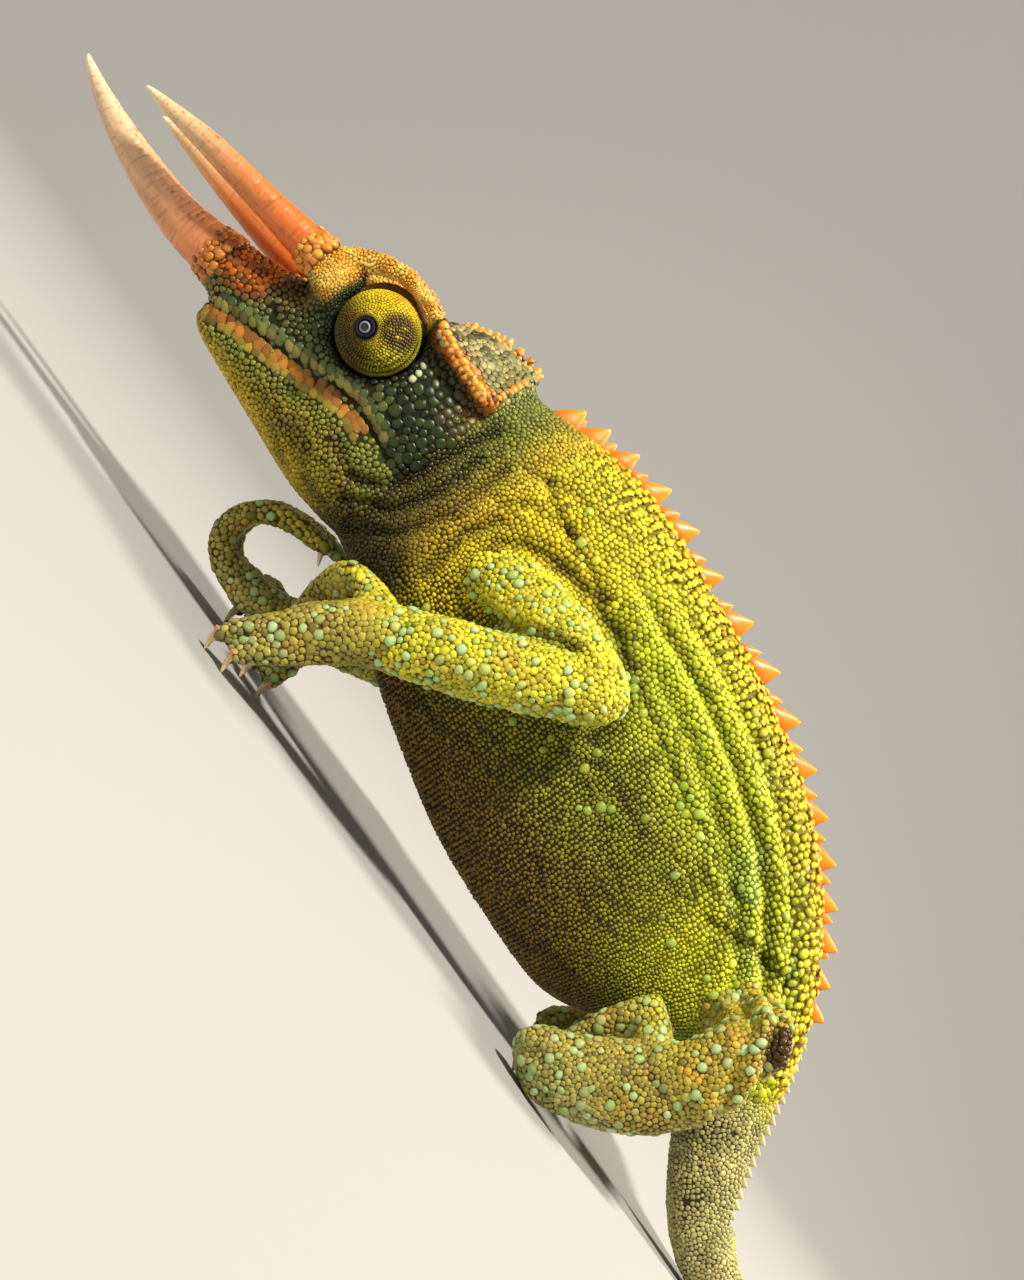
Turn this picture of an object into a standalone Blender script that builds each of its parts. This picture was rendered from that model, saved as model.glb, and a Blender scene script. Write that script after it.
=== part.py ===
"""Three-horned chameleon, a still life-size model that stands on the floor.

Sizes are millimetres here and turn to metres in new_object. The head points
to -X, the animal's left side to -Y, and the floor is z = 0.
"""

import math
import random

import bmesh
import bpy
import numpy as np

MM = 0.001
GAP = 0.3
MIDDLE_X = 10.7
MIDDLE_Y = 0.0

TRUNK_SIDES = 24
TAIL_SIDES = 12
LIMB_SIDES = 12
TOE_SIDES = 6
HORN_SIDES = 10

HEAD_REAR_X = -24.8
LIP_SPARE = 0.8
SNOUT_X = -59.0
EYE = np.array([-41.3, -7.2, 40.0])
EYE_RADIUS = 5.7
PUPIL = np.array([-41.9, -11.75, 39.1])
PUPIL_RADIUS = 1.35
NOSTRIL = np.array([-51.7, -4.9, 31.0])

NOSE_HORN_BASE_X = -61.9
BROW_HORN_BASE = np.array([-53.9, -5.4, 39.8])
# How far the right horn lies below the left one's height, row by row from base to tip.
RIGHT_HORN_DROPS = (2.2, 2.1, 1.35, 0.65, 0.45)
RIGHT_HORN_SHORTER = 0.5

COIL_CENTRE = np.array([102.5, 11.6])
COIL_RADIUS = 11.6
COIL_DROP_PER_TURN = 5.6
COIL_TURNS = 1.45
TAIL_TIP_RADIUS = 0.9
FLAT_REST = 0.86

SPINE_START = -18.2
SPINE_END = 65.0
SPINE_WIDEST = 10.0
SPINE_SPACING = 7.0
SPINE_HEIGHT = 2.05
SPINE_LENGTH = 2.9
SPINE_WIDTH = 2.2
SPINE_SUNK = 1.2

TRIM_SIZE = 60.0

GREEN = (0.36, 0.42, 0.05)
OLIVE = (0.22, 0.28, 0.06)
CHEEK = (0.07, 0.16, 0.06)
ORANGE = (0.80, 0.28, 0.04)
YELLOW = (0.62, 0.52, 0.04)
DARK = (0.01, 0.01, 0.02)
TAN = (0.45, 0.38, 0.12)


def clear_scene():
    for obj in list(bpy.data.objects):
        bpy.data.objects.remove(obj, do_unlink=True)


def smooth_rows(rows, steps):
    """Catmull-Rom rows through the control rows, with steps spans between two of them."""
    rows = np.asarray(rows, float)
    padded = np.vstack([2 * rows[0] - rows[1], rows, 2 * rows[-1] - rows[-2]])
    found = []
    for i in range(len(rows) - 1):
        p0, p1, p2, p3 = padded[i : i + 4]
        for t in np.arange(steps) / steps:
            found.append(
                0.5
                * (
                    2 * p1
                    + (p2 - p0) * t
                    + (2 * p0 - 5 * p1 + 4 * p2 - p3) * t**2
                    + (3 * p1 - p0 - 3 * p2 + p3) * t**3
                )
            )
    found.append(rows[-1])
    return np.array(found)


def unit(vector):
    return np.asarray(vector, float) / np.linalg.norm(vector)


def new_object(name, points, faces, colour=GREEN):
    mesh = bpy.data.meshes.new(name)
    shift = np.array([MIDDLE_X, MIDDLE_Y, 0.0])
    mesh.from_pydata(((np.asarray(points) - shift) * MM).tolist(), [], faces)
    obj = bpy.data.objects.new(name, mesh)
    bpy.context.scene.collection.objects.link(obj)
    shape = bmesh.new()
    shape.from_mesh(mesh)
    bmesh.ops.recalc_face_normals(shape, faces=shape.faces)
    if shape.calc_volume(signed=True) < 0:
        bmesh.ops.reverse_faces(shape, faces=shape.faces)
    shape.to_mesh(mesh)
    shape.free()
    paint(obj, colour)
    return obj


def paint(obj, colour):
    material = bpy.data.materials.new(obj.name)
    material.use_nodes = True
    material.node_tree.nodes["Principled BSDF"].inputs["Base Color"].default_value = (
        *colour,
        1.0,
    )
    obj.data.materials.clear()
    obj.data.materials.append(material)


def skin_rings(name, rings, colour=GREEN):
    """A closed body through rings of equal length, with a point at each end's centre."""
    count = len(rings)
    sides = len(rings[0])
    points = np.vstack([*rings, rings[0].mean(axis=0), rings[-1].mean(axis=0)])
    faces = []
    for i in range(count - 1):
        for j in range(sides):
            a = i * sides + j
            b = i * sides + (j + 1) % sides
            faces.append((a, b, b + sides))
            faces.append((a, b + sides, a + sides))
    for j in range(sides):
        k = (j + 1) % sides
        faces.append((k, j, count * sides))
        last = (count - 1) * sides
        faces.append((last + j, last + k, count * sides + 1))
    return new_object(name, points, faces, colour)


def section(width, up, down, top_power, low_power, sides):
    """Points (across, up) of a lopsided superellipse, |y/w|^n + |z/h|^n = 1."""
    angles = np.arange(sides) * 2 * math.pi / sides
    across = np.cos(angles)
    height = np.sin(angles)
    power = np.where(height >= 0, top_power, low_power)
    reach = np.where(height >= 0, up, down)
    y = width * np.sign(across) * np.abs(across) ** (2 / power)
    z = reach * np.sign(height) * np.abs(height) ** (2 / power)
    return np.column_stack([y, z])


def tube(name, rows, sides=LIMB_SIDES, steps=4, colour=GREEN, domed=(True, True)):
    """A tube through rows of x, y, z, radius across, radius along the other way."""
    rows = smooth_rows(rows, steps)
    centres = rows[:, :3]
    tangents = np.gradient(centres, axis=0)
    rings = []
    side = None
    for centre, tangent, wide, tall in zip(centres, tangents, rows[:, 3], rows[:, 4]):
        forward = unit(tangent)
        if side is None:
            hint = np.array([0.0, 1.0, 0.0])
            if abs(forward[1]) > 0.9:
                hint = np.array([0.0, 0.0, 1.0])
            side = hint
        side = unit(side - forward * np.dot(side, forward))
        other = np.cross(forward, side)
        angles = np.arange(sides) * 2 * math.pi / sides
        ring = (
            centre
            + np.outer(np.cos(angles) * wide, side)
            + np.outer(np.sin(angles) * tall, other)
        )
        rings.append(ring)
    if domed[0]:
        rings = dome(rings[0], -unit(tangents[0]), min(rows[0, 3:5])) + rings
    if domed[1]:
        rings = rings + dome(rings[-1], unit(tangents[-1]), min(rows[-1, 3:5]))[::-1]
    return skin_rings(name, rings, colour)


def dome(ring, outward, radius):
    """Two rings past an end, tip first, that round it off."""
    centre = ring.mean(axis=0)
    found = []
    for angle in (math.radians(68), math.radians(36)):
        moved = centre + (ring - centre) * math.cos(angle)
        found.append(moved + outward * radius * math.sin(angle))
    return found


def evaluated_mesh(obj):
    bpy.context.view_layer.update()
    graph = bpy.context.evaluated_depsgraph_get()
    return bpy.data.meshes.new_from_object(obj.evaluated_get(graph))


def swap_mesh(obj, mesh):
    material = obj.data.materials[0]
    obj.modifiers.clear()
    obj.data = mesh
    mesh.materials.clear()
    mesh.materials.append(material)
    mesh.polygons.foreach_set("material_index", [0] * len(mesh.polygons))


def keep_largest(obj):
    """Drops every closed surface of the mesh but the one of most volume."""
    shape = bmesh.new()
    shape.from_mesh(obj.data)
    bmesh.ops.triangulate(shape, faces=shape.faces, ngon_method="EAR_CLIP")
    left = set(shape.faces)
    bodies = []
    while left:
        start = left.pop()
        body = [start]
        queue = [start]
        while queue:
            face = queue.pop()
            for edge in face.edges:
                for other in edge.link_faces:
                    if other in left:
                        left.discard(other)
                        body.append(other)
                        queue.append(other)
        bodies.append(body)
    bodies.sort(key=body_volume)
    loose = [face for body in bodies[:-1] for face in body]
    bmesh.ops.delete(shape, geom=loose, context="FACES")
    stray = [vert for vert in shape.verts if not vert.link_faces]
    bmesh.ops.delete(shape, geom=stray, context="VERTS")
    shape.to_mesh(obj.data)
    shape.free()


def body_volume(faces):
    total = 0.0
    for face in faces:
        a, b, c = (vert.co for vert in face.verts)
        total += a.dot(b.cross(c)) / 6
    return abs(total)


def boolean(obj, others, operation, solver="EXACT"):
    """Joins or cuts obj with the closed meshes in others, which are then removed."""
    group = bpy.data.collections.new(obj.name + "_tools")
    bpy.context.scene.collection.children.link(group)
    for other in others:
        for holder in list(other.users_collection):
            holder.objects.unlink(other)
        group.objects.link(other)
        other.hide_render = True
        other.display_type = "WIRE"
    modifier = obj.modifiers.new(operation.lower(), "BOOLEAN")
    modifier.operation = operation
    modifier.solver = solver
    modifier.operand_type = "COLLECTION"
    modifier.collection = group
    mesh = evaluated_mesh(obj)
    swap_mesh(obj, mesh)
    for other in others:
        bpy.data.objects.remove(other, do_unlink=True)
    bpy.data.collections.remove(group)
    keep_largest(obj)
    return obj


def fuse(name, pieces, colour=GREEN):
    first = pieces[0]
    first.name = name
    paint(first, colour)
    if len(pieces) > 1:
        boolean(first, pieces[1:], "UNION", "MANIFOLD")
    return first


def cut(obj, cutters):
    return boolean(obj, cutters, "DIFFERENCE", "MANIFOLD")


def trim(obj, point, normal):
    """Keeps what lies on the side of the plane that the normal points to."""
    away = -unit(normal)
    hint = (0.0, 1.0, 0.0) if abs(away[1]) < 0.9 else (1.0, 0.0, 0.0)
    across = unit(np.cross(away, hint))
    along = np.cross(away, across)
    corners = [across + along, across - along, -across - along, along - across]
    near = np.array([np.asarray(point, float) + corner * TRIM_SIZE for corner in corners])
    return cut(obj, [skin_rings("half_space", [near, near + away * TRIM_SIZE])])


def cone(name, base, tip, width, depth, sides=5, forward=(1.0, 0.0, 0.0)):
    """A small pyramid from base to tip, width across and depth along forward."""
    base = np.asarray(base, float)
    tip = np.asarray(tip, float)
    axis = unit(tip - base)
    along = unit(np.asarray(forward) - axis * np.dot(forward, axis))
    across = np.cross(axis, along)
    points = []
    for k in range(sides):
        angle = 2 * math.pi * k / sides
        points.append(
            base
            + along * math.cos(angle) * depth / 2
            + across * math.sin(angle) * width / 2
        )
    points.append(tip)
    faces = [(k, (k + 1) % sides, sides) for k in range(sides)]
    faces.append(tuple(reversed(range(sides))))
    return new_object(name, points, faces)


def mirrored(point, side):
    """The point on the left for side -1, and its mirror image on the right for side 1."""
    x, y, z = point[:3]
    return (x, y if side < 0 else -y, z, *point[3:])


def trunk_rows():
    """Stations x, z, slope down in degrees, up, down, half width, top power."""
    return [
        (-24.5, 36.0, 0, 16.2, 15.6, 8.8, 1.75),
        (-17.0, 35.5, 0, 19.0, 17.2, 10.4, 1.7),
        (-8.0, 34.5, 0, 22.3, 20.5, 11.6, 1.65),
        (3.0, 32.5, 0, 24.4, 21.8, 12.2, 1.65),
        (15.0, 31.5, 0, 24.2, 23.6, 12.4, 1.65),
        (28.0, 30.0, 0, 23.6, 23.1, 12.2, 1.65),
        (40.0, 28.0, 5, 22.0, 21.0, 11.2, 1.65),
        (50.0, 26.0, 18, 16.9, 16.6, 9.2, 1.7),
        (57.3, 24.3, 36, 11.2, 12.0, 7.6, 1.8),
        (62.6, 20.4, 51, 8.2, 8.2, 6.4, 1.9),
    ]


def trunk_rings():
    """Rings from the back of the head to the root of the tail."""
    rings = []
    for x, z, slope, up, down, width, power in smooth_rows(trunk_rows(), 3):
        outline = section(width, up, down, power, 2.2, TRUNK_SIDES)
        angle = math.radians(slope)
        ring = np.column_stack(
            [
                x + outline[:, 1] * math.sin(angle),
                outline[:, 0],
                z + outline[:, 1] * math.cos(angle),
            ]
        )
        rings.append(ring)
    return rings


def dorsal_height(x):
    """Height of the middle of the back over the floor."""
    rows = smooth_rows(trunk_rows(), 8)
    angles = np.radians(rows[:, 2])
    tops = rows[:, 0] + rows[:, 3] * np.sin(angles)
    heights = rows[:, 1] + rows[:, 3] * np.cos(angles)
    return float(np.interp(x, tops, heights))


def spine_places():
    """Where the large teeth stand: widest apart over the shoulder, closer to both ends."""
    places = [SPINE_START]
    while places[-1] < SPINE_END:
        away = places[-1] - SPINE_WIDEST
        closing = 0.004 if away < 0 else 0.0016
        places.append(places[-1] + SPINE_SPACING - closing * away * away)
    return places[:-1]


def spines(first_x, last_x, draw):
    """Backward-leaning crest teeth along the back, a small one before each large one."""
    found = []
    for place in spine_places():
        fading = 1.0 - 0.28 * max(0.0, (place - 35.0) / 30.0)
        for x, size in ((place - 3.4, 0.62), (place - 0.9, 1.0)):
            size *= draw.uniform(0.92, 1.08) * fading
            if not first_x < x < last_x:
                continue
            ground = np.array([x, 0.0, dorsal_height(x)])
            ahead = np.array([x + 1.0, 0.0, dorsal_height(x + 1.0)])
            along = unit(ahead - ground)
            outward = np.array([-along[2], 0.0, along[0]])
            tip = ground + (outward * SPINE_HEIGHT + along * 0.9) * size
            root = ground - outward * SPINE_SUNK - along * 0.3
            depth = SPINE_LENGTH * size * 1.6
            found.append(cone("spine", root, tip, SPINE_WIDTH, depth, 5, along))
    return found


def shift_ring(ring, along, distance):
    return ring + np.asarray(along) * distance


def build_trunk():
    rings = trunk_rings()
    split = 4
    joint_x = rings[split][0, 0]
    draw = random.Random(11)
    neck = rings[: split + 1]
    neck[-1] = shift_ring(neck[-1], (1, 0, 0), -GAP / 2)
    neck_body = skin_rings("neck", neck, OLIVE)
    neck_body = fuse("neck", [neck_body, *spines(-20.0, joint_x, draw)], OLIVE)
    trim(neck_body, (joint_x - GAP / 2, 0, 0), (-1, 0, 0))
    torso = rings[split:]
    torso[0] = shift_ring(torso[0], (1, 0, 0), GAP / 2)
    torso_body = skin_rings("torso", torso, GREEN)
    torso_body = fuse("torso", [torso_body, *spines(joint_x, 63.6, draw)], GREEN)
    trim(torso_body, (joint_x + GAP / 2, 0, 0), (1, 0, 0))


def tail_rows():
    """Stations x, y, z, radius across, radius up, from the root to the tip of the coil."""
    rows = [
        (61.4, 0.0, 21.9, 6.4, 8.2),
        (67.0, 0.0, 15.4, 5.2, 6.2),
        (71.2, 0.0, 10.6, 4.7, 5.4),
        (76.5, 0.0, 6.2, 4.2, 4.7),
        (83.5, 0.0, 3.9 * FLAT_REST, 3.9, 3.9),
        (93.0, 0.0, 3.4 * FLAT_REST, 3.4, 3.4),
    ]
    turns = np.linspace(0, COIL_TURNS, 19)
    for turn in turns:
        angle = turn * 2 * math.pi - math.pi / 2
        reach = COIL_RADIUS - COIL_DROP_PER_TURN * turn
        radius = 3.0 + (TAIL_TIP_RADIUS - 3.0) * turn / COIL_TURNS
        rows.append(
            (
                COIL_CENTRE[0] + reach * math.cos(angle),
                COIL_CENTRE[1] + reach * math.sin(angle),
                radius * FLAT_REST,
                radius,
                radius,
            )
        )
    return rows


def build_tail():
    """The tail in five lengths, each ring of it flattened where it lies on the floor."""
    rows = smooth_rows(tail_rows(), 2)
    centres = rows[:, :3]
    tangents = np.gradient(centres, axis=0)
    rings = []
    for row, tangent in zip(rows, tangents):
        forward = unit(tangent)
        side = unit(np.cross((0.0, 0.0, 1.0), forward))
        up = np.cross(forward, side)
        angles = np.arange(TAIL_SIDES) * 2 * math.pi / TAIL_SIDES
        ring = (
            row[:3]
            + np.outer(np.cos(angles) * row[3], side)
            + np.outer(np.sin(angles) * row[4], up)
        )
        ring[:, 2] = np.maximum(ring[:, 2], 0.0)
        rings.append(ring)
    joints = (0, 10, 18, 26, 36, len(rings) - 1)
    for number in range(5):
        start, end = joints[number], joints[number + 1]
        length = [ring.copy() for ring in rings[start : end + 1]]
        length[0] = shift_ring(length[0], unit(tangents[start]), GAP / 2)
        if number == 4:
            length += dome(length[-1], unit(tangents[-1]), TAIL_TIP_RADIUS)[::-1]
        else:
            length[-1] = shift_ring(length[-1], unit(tangents[end]), -GAP / 2)
        for ring in length:
            ring[:, 2] = np.maximum(ring[:, 2], 0.0)
        body = skin_rings(f"tail_{number + 1}", length, TAN)
        if number == 0:
            x, z, slope = trunk_rows()[-1][:3]
            back = (math.cos(math.radians(slope)), 0.0, -math.sin(math.radians(slope)))
            trim(body, np.array([x, 0.0, z]) + np.array(back) * GAP, back)


def mouth_height(x):
    """Height of the line between the lips."""
    return float(
        np.interp(
            x,
            (-59.0, -56.8, -54.5, -49.3, -44.0, -39.0, -36.0, -30.0, -24.0),
            (24.6, 25.2, 26.3, 27.9, 29.7, 31.6, 32.3, 31.9, 31.0),
        )
    )


def upright_ring(x, middle, width, up, down, top_power, low_power, sides=24):
    outline = section(width, up, down, top_power, low_power, sides)
    return np.column_stack([np.full(sides, x), outline[:, 0], middle + outline[:, 1]])


def skull():
    """The head over the mouth line, with a flat underside along it."""
    rows = smooth_rows(
        [
            (SNOUT_X, 27.0, 2.2, 2.4),
            (-56.5, 31.5, 4.2, 2.3),
            (-52.0, 36.0, 5.3, 2.2),
            (-48.0, 41.0, 6.1, 2.2),
            (-44.0, 45.0, 7.2, 2.3),
            (-39.0, 46.6, 8.4, 2.4),
            (-32.0, 46.8, 9.0, 2.4),
            (HEAD_REAR_X, 46.6, 8.8, 2.2),
        ],
        2,
    )
    rings = []
    for x, top, width, power in rows:
        low = mouth_height(x) - LIP_SPARE
        middle = low + 0.35 * (top - low)
        ring = upright_ring(x, middle, width, top - middle, middle - low, power, 5.0, 18)
        rings.append(ring)
    return skin_rings("skull", rings)


def casque():
    """The helmet at the back of the head, a roof from the side crests to the middle one."""
    rows = smooth_rows(
        [
            (-39.5, 47.4, 6.6),
            (-37.0, 50.2, 7.4),
            (-32.5, 52.9, 7.9),
            (-27.5, 54.0, 7.6),
            (HEAD_REAR_X, 53.4, 5.4),
        ],
        2,
    )
    rings = [
        upright_ring(x, 45.8, width, top - 45.8, 2.4, 1.25, 2.0, 20) for x, top, width in rows
    ]
    return skin_rings("casque", rings)


def crest_path(side):
    """The orange ridge from the horn's base over the eye and round the casque."""
    points = [
        (-51.4, -5.3, 42.8, 1.7, 1.9),
        (-49.0, -6.3, 45.0, 1.7, 1.9),
        (-45.0, -7.6, 47.0, 1.5, 1.6),
        (-40.5, -8.4, 47.4, 1.3, 1.4),
        (-36.5, -8.3, 46.6, 1.2, 1.3),
        (-31.5, -8.2, 45.9, 1.2, 1.2),
        (-26.4, -7.5, 45.8, 1.2, 1.2),
    ]
    return [mirrored(point, side) for point in points]


def casque_edge_path(side):
    """The rear edge of the casque, from the corner of the side crest up to the middle."""
    points = [
        (-26.4, -7.5, 45.9, 1.1, 1.1),
        (-25.9, -5.9, 48.8, 1.0, 1.0),
        (-25.9, -3.4, 51.4, 1.0, 1.0),
        (-25.9, -0.6, 53.4, 1.0, 1.0),
    ]
    return [mirrored(point, side) for point in points]


def crest_cones(path, pitch, height, draw, outward):
    """Conical scales along a ridge, leaning the way that outward gives."""
    rows = smooth_rows(path, 10)
    lengths = np.concatenate(
        [[0], np.cumsum(np.linalg.norm(np.diff(rows[:, :3], axis=0), axis=1))]
    )
    found = []
    for place in np.arange(pitch / 2, lengths[-1], pitch):
        x, y, z, radius = (np.interp(place, lengths, rows[:, k]) for k in range(4))
        base = np.array([x, y, z])
        lean = unit(np.asarray(outward) * (1, math.copysign(1, y), 1))
        size = height * draw.uniform(0.75, 1.2)
        found.append(
            cone("scale", base, base + lean * (radius + size), 1.9, pitch * 1.3, 4)
        )
    return found


def middle_crest():
    """Rounded orange scales along the top of the casque."""
    draw = random.Random(5)
    rows = smooth_rows([(-36.8, 50.4), (-32.5, 53.0), (-27.5, 54.1), (-25.6, 53.8)], 6)
    found = []
    for x, z in rows[1::2]:
        tall = draw.uniform(0.3, 0.6)
        found.append(cone("scale", (x, 0, z - 1.2), (x + 0.2, 0, z + tall), 2.2, 2.1, 5))
    return found


def build_head():
    draw = random.Random(7)
    sheath = tube(
        "sheath",
        [
            (-49.0, 0, 32.5, 5.2, 5.6),
            (-54.0, 0, 31.0, 4.9, 5.3),
            (-58.5, 0, 29.8, 4.4, 4.7),
            (NOSE_HORN_BASE_X - 1.0, 0, 29.3, 3.9, 4.1),
        ],
        14,
        2,
        domed=(True, False),
    )
    trim(sheath, (NOSE_HORN_BASE_X, 0, 0), (1, 0, 0))
    pieces = [skull(), casque(), sheath]
    for side in (-1, 1):
        x, y, z = mirrored(BROW_HORN_BASE, side)
        z -= RIGHT_HORN_DROPS[0] if side > 0 else 0
        base = tube(
            "horn_base",
            [
                (x + 8.0, y * 0.85, z - 1.5, 3.0, 4.0),
                (x + 3.5, y * 0.95, z - 0.2, 3.2, 3.6),
                (x - 1.0, y, z, 3.0, 3.2),
            ],
            12,
            2,
            domed=(True, False),
        )
        pieces.append(trim(base, (x, 0, 0), (1, 0, 0)))
        pieces.append(tube("crest", crest_path(side), 7, 1))
        pieces.append(tube("edge", casque_edge_path(side), 6, 1))
        pieces += crest_cones(crest_path(side), 1.9, 0.55, draw, (0.0, 0.35, 1.0))
        pieces += crest_cones(casque_edge_path(side), 1.8, 0.4, draw, (0.3, 0.5, 0.6))
    pieces += middle_crest()
    head = fuse("head", pieces, CHEEK)
    cutters = []
    for side in (-1, 1):
        cutters.append(ball("socket", mirrored(EYE, side), EYE_RADIUS + GAP, 16, 10))
        x, y, z = mirrored(NOSTRIL, side)
        cutters.append(ball("nostril", (x, y, z), 0.75, 8, 6))
    cut(head, cutters)
    trim(head, (HEAD_REAR_X, 0, 0), (-1, 0, 0))
    cut(head, [mouth_block("under_mouth", GAP / 2, -20.0)])


def mouth_block(name, lift, depth):
    """A block whose one face follows the line of the lips, lift above it."""
    rings = []
    for x in np.linspace(-61.0, -22.0, 11):
        z = mouth_height(x) + lift
        far = z + depth
        rings.append(np.array([[x, -20, far], [x, 20, far], [x, 20, z], [x, -20, z]], float))
    return skin_rings(name, rings)


def ball(name, centre, radius, around, rows):
    """A sphere with its poles on the Y axis."""
    centre = np.asarray(centre[:3], float)
    rings = []
    for k in range(1, rows):
        polar = math.pi * k / rows
        angles = np.arange(around) * 2 * math.pi / around
        reach = radius * math.sin(polar)
        ring = np.column_stack(
            [
                np.cos(angles) * reach,
                np.full(around, -radius * math.cos(polar)),
                np.sin(angles) * reach,
            ]
        )
        rings.append(ring + centre)
    sphere = skin_rings(name, rings)
    poles = sphere.data.vertices[-2:]
    shift = np.array([MIDDLE_X, MIDDLE_Y, 0.0])
    for pole, way in zip(poles, (-1, 1)):
        pole.co = ((centre + (0, way * radius, 0) - shift) * MM).tolist()
    return sphere


def build_jaw():
    rows = smooth_rows(
        [
            (SNOUT_X + 0.4, 22.6, 1.6),
            (-56.5, 21.2, 3.6),
            (-50.0, 20.5, 5.2),
            (-43.0, 19.9, 6.7),
            (-33.0, 19.2, 8.4),
            (HEAD_REAR_X, 20.2, 8.9),
        ],
        2,
    )
    rings = []
    for x, low, width in rows:
        top = mouth_height(x) + LIP_SPARE
        middle = top - 0.3 * (top - low)
        ring = upright_ring(x, middle, width, top - middle, middle - low, 5.0, 2.2, 18)
        rings.append(ring)
    jaw = skin_rings("lower_jaw", rings, OLIVE)
    cut(jaw, [mouth_block("over_mouth", -GAP / 2, 20.0)])


def build_eyes():
    for side, name in ((-1, "left"), (1, "right")):
        turret = ball("eye_" + name, mirrored(EYE, side), EYE_RADIUS, 20, 12)
        pit = ball("pit", mirrored(PUPIL, side), PUPIL_RADIUS + GAP, 10, 6)
        cut(turret, [pit])
        paint(turret, YELLOW)
        paint(ball("pupil_" + name, mirrored(PUPIL, side), PUPIL_RADIUS, 10, 6), DARK)


def ringed(rows, pitch, depth):
    """Adds the growth rings of a horn, grooves about pitch apart and depth deep."""
    rows = smooth_rows(rows, 8)
    lengths = np.concatenate(
        [[0], np.cumsum(np.linalg.norm(np.diff(rows[:, :3], axis=0), axis=1))]
    )
    places = np.arange(0, lengths[-1], pitch / 2)
    found = np.array([[np.interp(p, lengths, rows[:, k]) for k in range(5)] for p in places])
    groove = np.where(np.arange(len(places)) % 2 == 1, depth, 0.0)
    found[:, 3:] = np.maximum(found[:, 3:] - groove[:, None], 0.12)
    return np.vstack([found, rows[-1]])


def build_horns():
    nose = [
        (NOSE_HORN_BASE_X + 1.0, 0, 29.5, 3.85, 3.95),
        (-70.0, 0, 28.1, 3.0, 3.1),
        (-80.1, 0, 28.2, 2.2, 2.3),
        (-88.0, 0, 29.2, 1.3, 1.4),
        (-94.0, 0, 30.9, 0.25, 0.25),
    ]
    horn = tube("horn_nose", ringed(nose, 3.4, 0.14), HORN_SIDES, 1, ORANGE, (False, False))
    trim(horn, (NOSE_HORN_BASE_X - GAP, 0, 0), (-1, 0, 0))
    x, y, z = BROW_HORN_BASE
    brow = [
        (x + 1.0, y, z, 2.75, 2.85),
        (-63.6, y - 0.5, 38.2, 2.1, 2.15),
        (-73.4, y - 0.9, 36.7, 1.6, 1.7),
        (-79.5, y - 1.1, 35.4, 1.0, 1.05),
        (-84.2, y - 1.1, 34.5, 0.2, 0.2),
    ]
    for side, name in ((-1, "left"), (1, "right")):
        path = [mirrored(row, side) for row in brow]
        if side > 0:
            path = [(*r[:2], r[2] - drop, *r[3:]) for r, drop in zip(path, RIGHT_HORN_DROPS)]
            path[-1] = (path[-1][0] + RIGHT_HORN_SHORTER, *path[-1][1:])
        rows = ringed(path, 3.4, 0.1)
        horn = tube(f"horn_{name}", rows, HORN_SIDES, 1, ORANGE, (False, False))
        trim(horn, (x - GAP, 0, 0), (-1, 0, 0))


def trunk_cutter():
    """The trunk made larger all round by the gap, for cutting the roots of the limbs."""
    rings = []
    for ring in trunk_rings():
        centre = ring.mean(axis=0)
        away = ring - centre
        rings.append(centre + away * (1 + GAP / np.linalg.norm(away, axis=1))[:, None])
    return skin_rings("trunk_cutter", rings)


def tail_cutter():
    rows = [(x, y, z, wide + GAP, tall + GAP) for x, y, z, wide, tall in tail_rows()[:5]]
    return tube("tail_cutter", rows, TAIL_SIDES, 3)


def claw(root, tip):
    """A curved claw as a short horn that meets the floor, or points along its toe."""
    root = np.asarray(root, float)
    tip = np.asarray(tip, float)
    middle = (root + tip) / 2 + (0.0, 0.0, 0.35)
    rows = [(*root, 0.85, 0.85), (*middle, 0.6, 0.6), (*tip, 0.22, 0.22)]
    return tube("claw", rows, 5, 1, domed=(False, False))


def split_at(upper, lower, joint, toward_upper, toward_lower):
    """Parts two limb lengths by the plane that halves the angle at their joint."""
    normal = unit(unit(toward_upper) - unit(toward_lower))
    joint = np.asarray(joint, float)
    trim(upper, joint + normal * GAP / 2, normal)
    trim(lower, joint - normal * GAP / 2, -normal)


def limb(side, names, rows, end_pieces, joints):
    """Three lengths of a leg: the first two are tubes, and the third is fused with its toes."""
    parts = []
    for name, length in zip(names[:2], rows[:2]):
        parts.append(tube(name, [mirrored(row, side) for row in length], LIMB_SIDES, 3))
    last = tube("last", [mirrored(row, side) for row in rows[2]], LIMB_SIDES, 3)
    parts.append(fuse(names[2], [last, *end_pieces], TAN))
    for k, joint in enumerate(joints):
        back = np.subtract(joints[k][1], joints[k][0])
        ahead = np.subtract(joints[k][2], joints[k][0])
        middle = np.array(mirrored(joint[0], side))
        back[1] *= 1 if side < 0 else -1
        ahead[1] *= 1 if side < 0 else -1
        split_at(parts[k], parts[k + 1], middle, back, ahead)
    cut(parts[0], [trunk_cutter()])
    cut(parts[1], [trunk_cutter()])
    if names[0].startswith("thigh"):
        cut(parts[0], [tail_cutter()])
    return parts


def toe(side, path):
    return tube("toe", [mirrored(row, side) for row in path], TOE_SIDES, 2)


def level_feet(obj):
    """Cuts the flats that stand on the floor."""
    trim(obj, (0, 0, 0), (0, 0, 1))


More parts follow.
